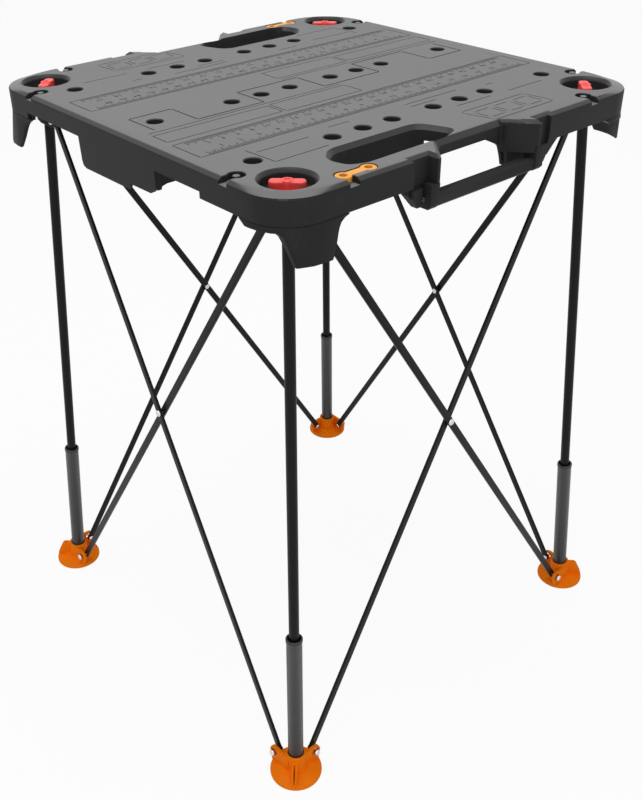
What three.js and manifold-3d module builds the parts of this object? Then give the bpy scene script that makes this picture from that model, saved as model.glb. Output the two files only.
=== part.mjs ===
import * as THREE from 'three';
import { mergeVertices } from 'three/addons/utils/BufferGeometryUtils.js';
import Module from 'manifold-3d';

const wasm = await Module();
wasm.setup();

// Table top, in millimetres with the floor at z = 0
const TOP = 800;
const HALF = 285;
const CORNER_RADIUS = 50;
const TOP_CORNER_RADIUS = 69;
const CHAMFER_IN = 5;
const CHAMFER_DOWN = 4;
const UNDERSIDE = 794;
const SKIRT_BOTTOM = 768.5;
const SKIRT_WALL = 3.5;
const SIDE_SKIRT_BOTTOM = 776;
const SIDE_SKIRT_FROM = -205;
const SIDE_SKIRT_TO = 156;
const RIB_BOTTOM = 785;
const RIB_WALL = 3;
const CLEAR = 0.4;

// Bench-dog holes
const DOG_X = [-230.9, -122.9, -78.1, -33.3, 33.3, 78.1, 122.9, 230.9];
const DOG_Y = [-175.9, 0, 175.9];
const DOG_RADIUS = 9.55;
const DOG_BOSS_RADIUS = 13;
const DOG_BOSS_BOTTOM = 784;

// Clamp slots
const SLOT_OUTLINE = [[-153, -207], [-171, -226], [-165, -249], [-152, -258], [-30, -256], [-13, -246],
  [-27, -208]];
const SLOT_WALL = 3;
const SLOT_BOTTOM = 759;

// Knob wells, knobs and locking lugs
const KNOB_X = -237.6;
const KNOB_Y = KNOB_X;
const WELL_RIM_RADIUS = 30.5;
const WELL_RADIUS = 27.5;
const WELL_WALL = 3;
const WELL_FLOOR = 786;
const WELL_BOTTOM = 783;
const SHAFT_RADIUS = 5;
const SHAFT_HOLE = 5.5;
const KNOB_HALF_LENGTH = 18;
const KNOB_HALF_WIDTH = 7;
const KNOB_BASE_RADIUS = 15;
const KNOB_TOP = 799.2;
const LUG_LENGTH = 19;
const LUG_WIDTH = 7;
const LUG_BOTTOM = 768;
const LUG_TOP = 771.8;

// Keyhole pockets and the stored links
const KEY_EDGE = 267.5;
const KEY_ALONG = 192;
const SIDE_KEY_ALONG = 196;
const KEY_RADIUS = 9.4;
const KEY_CHANNEL = 13;
const KEY_FLOOR = 793;
const KEY_PAD_BOTTOM = 789.5;
const LINK_SPAN = 34;
const LINK_END_RADIUS = 8.6;
const LINK_WAIST = 10;
const LINK_HOLE = 3.3;
const LINK_TOP = 799.6;

// Handle recess and handle
const NOTCH_OUT = 110;
const NOTCH_IN = 84;
const NOTCH_FACE = 280;
const EAR_TIP_X = 80;
const EAR_TIP_Y = 293;
const EAR_BOTTOM = 770.5;
const WEDGE_OUT = 78.4;
const WEDGE_BOTTOM = 763.5;
const RECESS_HALF = 52;
const RECESS_FACE = 261;
const RECESS_BOTTOM = 783;
const PIVOT_Y = -281;
const PIVOT_Z = 750.5;
const ROD_RADIUS = 2.5;
const ROD_HALF = 103;
const COLLAR_RADIUS = 4.8;
const BOSS_IN = 96.5;
const BOSS_OUT = 112;
const BOSS_BOTTOM = 746;
const BOSS_TOP = 766;
const BACK_WALL = 268;
const GRIP_HALF = 79;
const ARM_OUT = 92;

// Leg frame: every leg leans the same amount in x and in y
const LEAN = 0.06;
const HUB_PIVOT_U = 212;
const HUB_PIVOT_Z = 756;
const FOOT_PIVOT_U = 257;
const FOOT_PIVOT_Z = 20;
const TUBE_RADIUS = 6.5;
const TUBE_WALL = 1.3;
const TUBE_BOTTOM = 36;
const TUBE_TOP = 763;
const SLEEVE_RADIUS = 10.2;
const SLEEVE_BORE = 8.9;
const SLEEVE_BOTTOM = 10;
const SLEEVE_TOP = 228;
const SLEEVE_LIP_RADIUS = 10.9;
const SLEEVE_LIP = 6;

// Hubs and corner sockets
const HUB_CENTRE = -239.5;
const HUB_RADIUS = 15;
const HUB_BOTTOM = 752;
const HUB_TOP = 779;
const HUB_EAR_RADIUS = 8;
const POCKET_RADIUS = 11.4;
const POCKET_BOTTOM = 765.5;
const POCKET_TOP = 774.5;
const SOCKET_WALL_OUT = 3.9;
const SOCKET_WALL_IN = 7.4;
const SOCKET_PLATE_BOTTOM = 779.5;
const SOCKET_PLATE_TOP = 782.6;
const SOCKET_REACH = 199;
const SOCKET_SIDE_REACH = 205;
const SOCKET_LOW = 728.5;
const SOCKET_SHALLOW = 762;
const SOCKET_FLARE = 6;
const CRADLE_IN = 15.8;
const CRADLE_OUT = 19;
const CRADLE_BOTTOM = 760;

// Braces: depths are measured inward from the plane of the leg axes
const BRACE_HALF_WIDTH = 4.75;
const OUTER_BRACE = [-7.8, -4.2];
const INNER_BRACE = [-1.8, 1.8];
const BRACE_HOLE = 2.5;
const CROSS_SLACK_HOLE = 3.5;
const HUB_OUTER_EAR = [-12.2, -8.2];
const HUB_INNER_EAR = [-6.2, -2.2];
const FOOT_OUTER_EAR = [-15.7, -10.7];
const FOOT_INNER_EAR = [-9.7, -4.7];
const RIVET_RADIUS = 2.1;
const RIVET_HEAD = 4.6;
const FOOT_EAR_HOLE = 5.6;
const FOOT_HEAD_STANDOFF = 2.9;

// Feet
const FOOT_RADIUS = 34.5;
const FOOT_RIM = 4;
const FOOT_BOSS_RADIUS = 14;
const FOOT_BOSS_TOP = 32;
const FOOT_EAR_RADIUS = 8.2;
const FIN_HALF = 3.2;
const FIN_TOP = 29.5;

const CORNERS = ['front', 'right', 'back', 'left'];
const SIDES = ['front_right', 'right_back', 'back_left', 'left_front'];
const STRETCH = Math.hypot(1, LEAN);

const paint = (color, roughness, metalness) => ({ color, roughness, metalness });
const GREY = paint(0x55575a, 0.6, 0);
const DARK = paint(0x2c2d2f, 0.6, 0);
const RED = paint(0xe03232, 0.45, 0);
const ORANGE = paint(0xf08a1e, 0.5, 0);
const BLACK_METAL = paint(0x17181a, 0.4, 0.6);
const SLEEVE_METAL = paint(0x3a3c40, 0.4, 0.6);
const STEEL = paint(0xc9cbce, 0.3, 0.9);

const group = new THREE.Group();

// Closed solid from a three.js geometry, with its faces turned outward
function solid(geometry, frame = new THREE.Matrix4()) {
  const bare = geometry.clone().applyMatrix4(frame);
  bare.deleteAttribute('normal');
  bare.deleteAttribute('uv');
  const welded = mergeVertices(bare, 1e-4);
  const place = welded.attributes.position.array;
  const index = welded.index.array;
  const faces = [];
  let volume = 0;
  const corner = (k) => new THREE.Vector3().fromArray(place, 3 * k);
  for (let i = 0; i < index.length; i += 3) {
    const [a, b, c] = [index[i], index[i + 1], index[i + 2]];
    if (a === b || b === c || c === a) continue;
    faces.push(a, b, c);
    volume += corner(a).dot(corner(b).cross(corner(c)));
  }
  if (volume < 0) faces.reverse();
  const vertProperties = new Float32Array(place);
  return new wasm.Manifold(new wasm.Mesh({ numProp: 3, vertProperties, triVerts: new Uint32Array(faces) }));
}

function addPiece(name, body, finish, quarterTurns = 0) {
  const { vertProperties, triVerts } = body.getMesh();
  const geometry = new THREE.BufferGeometry();
  geometry.setAttribute('position', new THREE.BufferAttribute(new Float32Array(vertProperties), 3));
  geometry.setIndex(new THREE.BufferAttribute(new Uint32Array(triVerts), 1));
  geometry.rotateZ(quarterTurns * Math.PI / 2);
  geometry.computeVertexNormals();
  const mesh = new THREE.Mesh(geometry, new THREE.MeshStandardMaterial(finish));
  mesh.name = name;
  group.add(mesh);
}

const points = (list) => list.map(([x, y]) => new THREE.Vector2(x, y));

function ring(x, y, radius, count, turn = 0) {
  const list = [];
  for (let i = 0; i < count; i += 1) {
    const angle = turn + 2 * Math.PI * i / count;
    list.push([x + radius * Math.cos(angle), y + radius * Math.sin(angle)]);
  }
  return list;
}

// Upright prism on an outline, from one height to another
function prism(outline, low, high, frame, holes = []) {
  const shape = new THREE.Shape(points(outline));
  shape.holes = holes.map((hole) => new THREE.Path(points(hole)));
  const geometry = new THREE.ExtrudeGeometry(shape, { depth: high - low, bevelEnabled: false });
  geometry.translate(0, 0, low);
  return solid(geometry, frame);
}

const cylinder = (x, y, radius, low, high, count = 16, frame = undefined) => (
  prism(ring(x, y, radius, count, Math.PI / count), low, high, frame)
);

const block = (x0, x1, y0, y1, z0, z1) => prism([[x0, y0], [x1, y0], [x1, y1], [x0, y1]], z0, z1);

// Turned solid: a closed profile of radius and height, turned about the local z axis
function turned(profile, count, frame) {
  const geometry = new THREE.LatheGeometry(points(profile), count);
  geometry.rotateX(Math.PI / 2);
  return solid(geometry, frame);
}

// Prism whose outline lies in x and z, running along y
function alongY(outline, y0, y1) {
  const frame = new THREE.Matrix4().makeBasis(
    new THREE.Vector3(1, 0, 0), new THREE.Vector3(0, 0, 1), new THREE.Vector3(0, -1, 0));
  return prism(outline, -y1, -y0, frame);
}

// Prism whose outline lies in y and z, running along x
function alongX(outline, x0, x1) {
  const frame = new THREE.Matrix4().makeBasis(
    new THREE.Vector3(0, 1, 0), new THREE.Vector3(0, 0, 1), new THREE.Vector3(1, 0, 0));
  return prism(outline, x0, x1, frame);
}

// Rounded bar between two points
function rounded(from, to, radius, count = 6) {
  const angle = Math.atan2(to[1] - from[1], to[0] - from[0]);
  const list = [];
  for (let i = 0; i <= count; i += 1) {
    const a = angle - Math.PI / 2 + Math.PI * i / count;
    list.push([to[0] + radius * Math.cos(a), to[1] + radius * Math.sin(a)]);
  }
  for (let i = 0; i <= count; i += 1) {
    const a = angle + Math.PI / 2 + Math.PI * i / count;
    list.push([from[0] + radius * Math.cos(a), from[1] + radius * Math.sin(a)]);
  }
  return list;
}

// Turns a body half way round the z axis
function halfTurn(body) {
  const { vertProperties, triVerts } = body.getMesh();
  const moved = Float32Array.from(vertProperties, (value, i) => (i % 3 === 2 ? value : -value));
  return new wasm.Manifold(new wasm.Mesh({ numProp: 3, vertProperties: moved, triVerts }));
}

const union = (bodies) => bodies.reduce((sum, body) => sum.add(body));
const cut = (body, tools) => tools.reduce((rest, tool) => rest.subtract(tool), body);

// Frame of a side: u along the side, v up the leaning plane, w outward
function sideFrame(quarterTurns = 0) {
  const frame = new THREE.Matrix4().makeBasis(
    new THREE.Vector3(1, 0, 0),
    new THREE.Vector3(0, LEAN / STRETCH, 1 / STRETCH),
    new THREE.Vector3(0, -1 / STRETCH, LEAN / STRETCH));
  frame.setPosition(0, -HALF, 0);
  return new THREE.Matrix4().makeRotationZ(quarterTurns * Math.PI / 2).multiply(frame);
}

// Frame of the front leg: z runs up the leg axis
function legFrame() {
  const up = new THREE.Vector3(LEAN, LEAN, 1).normalize();
  const across = new THREE.Vector3(1, -1, 0).normalize();
  const frame = new THREE.Matrix4().makeBasis(across, up.clone().cross(across), up);
  return frame.setPosition(-HALF, -HALF, 0);
}

// Outline of the table top, set in from the edge by a distance
function deckOutline(inset, corner = CORNER_RADIUS - inset) {
  const slant = Math.hypot(EAR_TIP_X - RECESS_HALF, EAR_TIP_Y - RECESS_FACE);
  const run = (EAR_TIP_X - RECESS_HALF) / (EAR_TIP_Y - RECESS_FACE);
  const slantX = (y) => EAR_TIP_X - (EAR_TIP_Y - y) * run + inset * slant / (EAR_TIP_Y - RECESS_FACE);
  const right = [
    [slantX(RECESS_FACE - inset), -(RECESS_FACE - inset)],
    [slantX(NOTCH_FACE - inset), -(NOTCH_FACE - inset)],
    [NOTCH_OUT + inset, -(NOTCH_FACE - inset)],
    [NOTCH_OUT + inset, -(HALF - inset)],
  ];
  const left = right.map(([x, y]) => [-x, y]).reverse();
  const arc = (sx, sy, start) => {
    const centre = HALF - inset - corner;
    const list = [];
    for (let i = 0; i <= 6; i += 1) {
      const a = start + Math.PI / 2 * i / 6;
      list.push([sx * centre + corner * Math.cos(a), sy * centre + corner * Math.sin(a)]);
    }
    return list;
  };
  const half = [...arc(-1, -1, Math.PI), ...left, ...right, ...arc(1, -1, 1.5 * Math.PI)];
  return [...half, ...half.map(([x, y]) => [-x, -y])];
}

// Solid through a stack of outlines that have the same number of points
function loft(levels) {
  const count = levels[0].outline.length;
  const vertices = levels.flatMap(({ outline, z }) => outline.flatMap(([x, y]) => [x, y, z]));
  const faces = [];
  for (let level = 0; level < levels.length - 1; level += 1) {
    for (let i = 0; i < count; i += 1) {
      const a = level * count + i;
      const b = level * count + (i + 1) % count;
      faces.push(a, b, b + count, a, b + count, a + count);
    }
  }
  const last = (levels.length - 1) * count;
  for (const [a, b, c] of THREE.ShapeUtils.triangulateShape(points(levels[0].outline), [])) {
    faces.push(a, c, b);
  }
  for (const [a, b, c] of THREE.ShapeUtils.triangulateShape(points(levels.at(-1).outline), [])) {
    faces.push(last + a, last + b, last + c);
  }
  const geometry = new THREE.BufferGeometry();
  geometry.setAttribute('position', new THREE.Float32BufferAttribute(vertices, 3));
  geometry.setIndex(faces);
  return solid(geometry);
}

// Outline pushed outward from its middle by a distance on each edge
function grown(outline, distance) {
  const count = outline.length;
  return outline.map(([x, y], i) => {
    const [px, py] = outline[(i + count - 1) % count];
    const [nx, ny] = outline[(i + 1) % count];
    const before = new THREE.Vector2(y - py, px - x).normalize();
    const after = new THREE.Vector2(ny - y, x - nx).normalize();
    const mitre = before.clone().add(after).normalize();
    const reach = distance / mitre.dot(after);
    return [x + mitre.x * reach, y + mitre.y * reach];
  });
}

// One half of what is moulded on the top, its twin being half a turn away
function halfDetails() {
  const trims = [];
  const adds = [];
  const cuts = [];

  // Clamp slot with its walls
  adds.push(prism(grown(SLOT_OUTLINE, SLOT_WALL), SLOT_BOTTOM, UNDERSIDE + 1));
  cuts.push(prism(SLOT_OUTLINE, SLOT_BOTTOM - 5, TOP + 5));

  // Knob wells
  for (const [sx, sy] of [[1, 1], [-1, 1]]) {
    const [x, y] = [sx * KNOB_X, sy * KNOB_Y];
    adds.push(cylinder(x, y, WELL_RADIUS + WELL_WALL, WELL_BOTTOM, UNDERSIDE + 1, 14));
    cuts.push(turned([[0, WELL_FLOOR], [WELL_RADIUS, WELL_FLOOR], [WELL_RADIUS, TOP - 5],
      [WELL_RIM_RADIUS, TOP], [WELL_RIM_RADIUS, TOP + 3], [0, TOP + 3]], 18,
      new THREE.Matrix4().makeTranslation(x, y, 0)));
    cuts.push(cylinder(x, y, SHAFT_HOLE, WELL_BOTTOM - 3, TOP, 10));
  }

  // Keyhole pockets, two on this edge and two on the next
  const wide = KEY_CHANNEL / 2;
  for (const side of [-1, 1]) {
    const x = side * KEY_ALONG;
    adds.push(block(x - 14, x + 14, -HALF + 1, -KEY_EDGE + 13, KEY_PAD_BOTTOM, UNDERSIDE + 1));
    const pocket = cylinder(x, -KEY_EDGE, KEY_RADIUS, KEY_FLOOR, TOP + 3, 12)
      .add(block(x - wide, x + wide, -HALF - 3, -KEY_EDGE, KEY_FLOOR, TOP + 3));
    const y = side * SIDE_KEY_ALONG;
    adds.push(block(-HALF + 1, -KEY_EDGE + 13, y - 14, y + 14, KEY_PAD_BOTTOM, UNDERSIDE + 1));
    const sidePocket = cylinder(-KEY_EDGE, y, KEY_RADIUS, KEY_FLOOR, TOP + 3, 12)
      .add(block(-HALF - 3, -KEY_EDGE, y - wide, y + wide, KEY_FLOOR, TOP + 3));
    cuts.push(pocket, sidePocket);
  }
  const far = -KEY_ALONG + LINK_SPAN;
  adds.push(block(far - 20, far + 13, -HALF + 1, -KEY_EDGE + 13, KEY_PAD_BOTTOM, UNDERSIDE + 1));
  cuts.push(cylinder(far, -KEY_EDGE, KEY_RADIUS, KEY_FLOOR, TOP + 3, 12)
    .add(block(-KEY_ALONG, far, -KEY_EDGE - 6, -KEY_EDGE + 6, KEY_FLOOR, TOP + 3))
    .subtract(cylinder(-KEY_ALONG, -KEY_EDGE, KEY_RADIUS - 0.2, KEY_FLOOR - 1, TOP + 5, 12)));

  // Handle recess: open below its lip, with an ear, a wedge, a back wall and a boss at each end
  trims.push(block(-RECESS_HALF, RECESS_HALF, -HALF - 15, -RECESS_FACE + 8, SLOT_BOTTOM - 9, RECESS_BOTTOM));
  const run = (EAR_TIP_X - RECESS_HALF) / (EAR_TIP_Y - RECESS_FACE);
  const slantX = (y) => EAR_TIP_X - (EAR_TIP_Y - y) * run;
  const earRoot = NOTCH_FACE - 3;
  const lip = RECESS_FACE + 0.5;
  for (const side of [-1, 1]) {
    const flip = (outline) => outline.map(([x, y]) => [side * x, y]);
    trims.push(prism(flip([[WEDGE_OUT, -HALF - 15], [NOTCH_IN, -HALF - 15], [NOTCH_IN, -RECESS_FACE + 8],
      [WEDGE_OUT, -RECESS_FACE + 8]]), SLOT_BOTTOM - 9, EAR_BOTTOM));
    adds.push(prism(flip([[NOTCH_IN, -earRoot], [NOTCH_IN, -EAR_TIP_Y], [EAR_TIP_X, -EAR_TIP_Y],
      [slantX(earRoot), -earRoot]]), EAR_BOTTOM, TOP));
    adds.push(prism(flip([[slantX(lip), -lip], [slantX(earRoot), -earRoot], [WEDGE_OUT, -EAR_TIP_Y + 1.8],
      [WEDGE_OUT, -earRoot], [slantX(earRoot) + 5, -earRoot], [slantX(lip) + 5, -lip]]),
      WEDGE_BOTTOM, EAR_BOTTOM + 1));
    adds.push(prism(flip([[RECESS_HALF + 1, -BACK_WALL], [BOSS_IN + 1, -BACK_WALL], [BOSS_IN + 1, -BACK_WALL + 4],
      [RECESS_HALF + 5, -BACK_WALL + 4], [RECESS_HALF + 5, -RECESS_FACE + 4], [RECESS_HALF + 1, -RECESS_FACE + 4]]),
      BOSS_BOTTOM, UNDERSIDE + 1));
    const boss = (outside, top) => flip([[BOSS_IN, BOSS_BOTTOM], [BOSS_IN + 7.5, BOSS_BOTTOM],
      [outside, BOSS_BOTTOM + 1.75 * (outside - BOSS_IN - 7.5)], [outside, top], [BOSS_IN, top]]);
    adds.push(alongY(boss(BOSS_OUT, UNDERSIDE + 1), -NOTCH_FACE, -BACK_WALL + 1));
    adds.push(alongY(boss(NOTCH_OUT, BOSS_TOP), -HALF, -NOTCH_FACE + 1));
    cuts.push(alongX(ring(PIVOT_Y, PIVOT_Z, ROD_RADIUS + 0.3, 10),
      side > 0 ? BOSS_IN - 2 : -ROD_HALF - 1, side > 0 ? ROD_HALF + 1 : -BOSS_IN + 2));
  }

  // Web beside the boss at one end of the recess
  adds.push(alongY([[126, SKIRT_BOTTOM + 2], [126, SKIRT_BOTTOM], [118, 761.5], [BOSS_IN + 7, BOSS_BOTTOM],
    [BOSS_IN + 5, BOSS_BOTTOM], [BOSS_IN + 5, SKIRT_BOTTOM + 2]], -NOTCH_FACE - 1, -NOTCH_FACE + 3));
  adds.push(alongY([[126, SKIRT_BOTTOM + 2], [126, SKIRT_BOTTOM], [118, 761.5], [NOTCH_OUT - 1, 752.7],
    [NOTCH_OUT - 1, SKIRT_BOTTOM + 2]], -HALF, -NOTCH_FACE + 2));

  // Side skirt, shallow but for a deep apron
  trims.push(block(-HALF - 5, -HALF + 12, -SIDE_SKIRT_TO, -SIDE_SKIRT_FROM, SLOT_BOTTOM - 9, SIDE_SKIRT_BOTTOM));
  adds.push(apron());
  return { trims, adds, cuts };
}

// Deep apron of the side skirt, with a notch in its lower edge
function apron() {
  const outline = [[-75, 786], [-75, 757], [-70, 751], [-64, 748], [-30, 748], [-28, 752], [-16, 752], [-12, 741],
    [72, 740], [78, 742.5], [80, 748], [82, 776], [82, 786]];
  return alongX(outline, -HALF, -HALF + SKIRT_WALL);
}

function tableTop() {
  const shell = loft([
    { outline: deckOutline(0), z: SKIRT_BOTTOM },
    { outline: deckOutline(0), z: TOP - CHAMFER_DOWN },
    { outline: deckOutline(CHAMFER_IN, TOP_CORNER_RADIUS), z: TOP },
  ]);
  const hollow = prism(deckOutline(SKIRT_WALL), SKIRT_BOTTOM - 5, UNDERSIDE);
  const inside = HALF - SKIRT_WALL + 1;
  const half = halfDetails();
  const trims = [hollow, ...half.trims, ...half.trims.map(halfTurn)];
  const adds = [...half.adds, ...half.adds.map(halfTurn)];
  const cuts = [...half.cuts, ...half.cuts.map(halfTurn)];
  for (const x of [-177, -55.7, 55.7, 177]) {
    adds.push(block(x - RIB_WALL / 2, x + RIB_WALL / 2, -255, 255, RIB_BOTTOM, UNDERSIDE + 1));
  }
  for (const y of [-88, 88]) {
    adds.push(block(-inside, inside, y - RIB_WALL / 2, y + RIB_WALL / 2, RIB_BOTTOM, UNDERSIDE + 1));
  }
  for (const x of DOG_X) {
    for (const y of DOG_Y) {
      adds.push(cylinder(x, y, DOG_BOSS_RADIUS, DOG_BOSS_BOTTOM, UNDERSIDE + 1, 8));
      cuts.push(cylinder(x, y, DOG_RADIUS, DOG_BOSS_BOTTOM - 5, TOP + 5, 10));
    }
  }
  return cut(union([cut(shell, trims), ...adds]), cuts);
}

// Shroud under the front corner: plate, outer wall with one deep flared end, cradle and ribs
function cornerSocket() {
  const arc = (inset) => {
    const list = [];
    for (let i = 0; i <= 6; i += 1) {
      const a = Math.PI + Math.PI / 2 * i / 6;
      const radius = CORNER_RADIUS - inset;
      list.push([-HALF + CORNER_RADIUS + radius * Math.cos(a), -HALF + CORNER_RADIUS + radius * Math.sin(a)]);
    }
    return list;
  };
  const rim = (inset) => [[-HALF + inset, -SOCKET_SIDE_REACH], ...arc(inset), [-SOCKET_REACH, -HALF + inset]];
  const band = (outer, inner) => [...rim(outer), ...rim(inner).reverse()];
  const wallTop = SKIRT_BOTTOM - CLEAR;
  const adds = [
    prism(band(SOCKET_WALL_OUT, SOCKET_WALL_IN), SOCKET_SHALLOW, SOCKET_PLATE_TOP),
    loft([
      { outline: band(-SOCKET_FLARE, SKIRT_WALL - SOCKET_FLARE), z: SOCKET_LOW },
      { outline: band(0, SOCKET_WALL_IN - 0.1), z: wallTop },
    ]),
    prism([...rim(SOCKET_WALL_OUT), [-SOCKET_REACH, -224], [-224, -SOCKET_SIDE_REACH]],
      SOCKET_PLATE_BOTTOM, SOCKET_PLATE_TOP),
  ];
  const cradle = [];
  for (let i = 0; i <= 8; i += 1) {
    const a = Math.PI * (1.25 - 0.4 + 0.8 * i / 8);
    cradle.push([a, CRADLE_OUT]);
  }
  const outline = [...cradle, ...cradle.map(([a]) => [a, CRADLE_IN]).reverse()]
    .map(([a, r]) => [HUB_CENTRE + r * Math.cos(a), HUB_CENTRE + r * Math.sin(a)]);
  adds.push(prism(outline, CRADLE_BOTTOM, SOCKET_PLATE_BOTTOM + 1));
  const ribOut = HALF - SOCKET_WALL_IN + 2.5;
  const ribIn = HUB_CENTRE - CRADLE_OUT + 1;
  const ribBottom = SOCKET_SHALLOW + 2;
  adds.push(block(-ribOut, ribIn, HUB_CENTRE - 1.5, HUB_CENTRE + 1.5, ribBottom, SOCKET_PLATE_BOTTOM + 1));
  adds.push(block(HUB_CENTRE - 1.5, HUB_CENTRE + 1.5, -ribOut, ribIn, ribBottom, SOCKET_PLATE_BOTTOM + 1));
  const outside = -HALF - 15;
  const below = SOCKET_LOW - 5;
  const sideCut = alongY([[outside, below], [-265, below], [-265.3, SOCKET_LOW], [-271, 757.5],
    [-274, SOCKET_SHALLOW], [outside, SOCKET_SHALLOW]], outside, -SOCKET_SIDE_REACH + 5);
  const sideEnd = alongX([[-250, below], [-SOCKET_SIDE_REACH + 5, below], [-SOCKET_SIDE_REACH + 5, wallTop],
    [-218.5, wallTop], [-229, SOCKET_SHALLOW], [-250, SOCKET_SHALLOW]], outside, -260);
  const deepEnd = alongY([[-SOCKET_REACH + 5, below], [-SOCKET_REACH + 5, 767.3], [-SOCKET_REACH, 767.3],
    [-205, 765.5], [-210.5, 762], [-213.5, 757.5], [-215.5, 753], [-219, 743], [-224.5, 731],
    [-226, SOCKET_LOW], [-226, below]], outside, -HALF + 14);
  const hole = cylinder(KNOB_X, KNOB_Y, SHAFT_HOLE, SOCKET_PLATE_BOTTOM - 1, SOCKET_PLATE_TOP + 1, 10);
  return cut(union(adds), [sideCut, sideEnd, deepEnd, hole]);
}

// Twist knob with its shaft and locking lug, across the diagonal of the corner
function lockKnob() {
  const frame = new THREE.Matrix4().makeRotationZ(-Math.PI / 4).setPosition(KNOB_X, KNOB_Y, 0);
  const bar = rounded([-KNOB_HALF_LENGTH + 4, 0], [KNOB_HALF_LENGTH - 4, 0], KNOB_HALF_WIDTH - 1, 4);
  const low = WELL_FLOOR + CLEAR;
  const base = turned([[0, low], [KNOB_BASE_RADIUS, low], [KNOB_BASE_RADIUS, low + 2], [8.5, low + 4],
    [8.5, KNOB_TOP - 1.2], [7.5, KNOB_TOP], [0, KNOB_TOP]], 10, frame);
  const shaft = cylinder(0, 0, SHAFT_RADIUS, LUG_BOTTOM + 1, low + 1, 10, frame);
  const lug = prism(rounded([-LUG_LENGTH / 2 + LUG_WIDTH / 2, 0], [LUG_LENGTH / 2 - LUG_WIDTH / 2, 0],
    LUG_WIDTH / 2, 4), LUG_BOTTOM, LUG_TOP, frame);
  return union([prism(bar, low + 1, KNOB_TOP - 1, frame), base, shaft, lug]);
}

// Outline of an ear from the leg axis to a pivot, in side coordinates
const hubEar = (u) => rounded([Math.sign(u) * -HUB_CENTRE, HUB_PIVOT_Z * STRETCH], [u, HUB_PIVOT_Z * STRETCH],
  HUB_EAR_RADIUS, 4);

const sideHole = (u, z, radius, quarterTurns) => (
  cylinder(u, z * STRETCH, radius, -40, 40, 10, sideFrame(quarterTurns))
);

// Head of the front leg: ears for two braces, a bore for the tube and a pocket for the lug
function hub() {
  const body = cylinder(HUB_CENTRE, HUB_CENTRE, HUB_RADIUS, HUB_BOTTOM, HUB_TOP, 14);
  const outerEar = prism(hubEar(-HUB_PIVOT_U), -HUB_OUTER_EAR[1], -HUB_OUTER_EAR[0], sideFrame());
  const innerEar = prism(hubEar(HUB_PIVOT_U), -HUB_INNER_EAR[1], -HUB_INNER_EAR[0], sideFrame(-1));
  const bore = cylinder(0, 0, TUBE_RADIUS + 0.3, HUB_BOTTOM - 15, TUBE_TOP + 5, 12, legFrame());
  const outward = new THREE.Matrix4().makeRotationZ(-0.75 * Math.PI).setPosition(KNOB_X, KNOB_Y, 0);
  const pocket = prism(rounded([0, 0], [30, 0], POCKET_RADIUS, 6), POCKET_BOTTOM, POCKET_TOP, outward);
  const mouth = prism(rounded([0, 0], [30, 0], SHAFT_HOLE + 1.7, 4), POCKET_BOTTOM, HUB_TOP + 5, outward);
  return cut(union([body, outerEar, innerEar]), [
    bore.subtract(block(-300, -200, -300, -200, TUBE_TOP, HUB_TOP + 20)),
    pocket, mouth,
    sideHole(-HUB_PIVOT_U, HUB_PIVOT_Z, BRACE_HOLE, 0),
    sideHole(HUB_PIVOT_U, HUB_PIVOT_Z, BRACE_HOLE, -1),
  ]);
}

const tubeWall = (bottom, top, outer, bore) => [
  [bore, bottom], [outer, bottom], [outer, top], [bore, top], [bore, bottom],
];

const legTube = () => turned(
  tubeWall(TUBE_BOTTOM, TUBE_TOP - 1, TUBE_RADIUS, TUBE_RADIUS - TUBE_WALL), 12, legFrame());

const legSleeve = () => turned([[SLEEVE_BORE, SLEEVE_BOTTOM], [SLEEVE_RADIUS, SLEEVE_BOTTOM],
  [SLEEVE_RADIUS, SLEEVE_TOP - SLEEVE_LIP], [SLEEVE_LIP_RADIUS, SLEEVE_TOP - SLEEVE_LIP + 1],
  [SLEEVE_LIP_RADIUS, SLEEVE_TOP - 1], [SLEEVE_LIP_RADIUS - 0.6, SLEEVE_TOP], [SLEEVE_BORE, SLEEVE_TOP],
  [SLEEVE_BORE, SLEEVE_BOTTOM]], 14, legFrame());

// Outline of a foot ear in side coordinates, standing on the base
function footEar(u) {
  const side = Math.sign(u);
  const v = FOOT_PIVOT_Z * STRETCH;
  const list = [[-28, 3], [4, 3]];
  for (let i = 0; i <= 5; i += 1) {
    const a = -0.35 + (Math.PI / 2 + 0.35) * i / 5;
    list.push([FOOT_EAR_RADIUS * Math.cos(a), v + FOOT_EAR_RADIUS * Math.sin(a)]);
  }
  list.push([-28, v + FOOT_EAR_RADIUS]);
  return list.map(([x, y]) => [u - side * x, y]);
}

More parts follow.
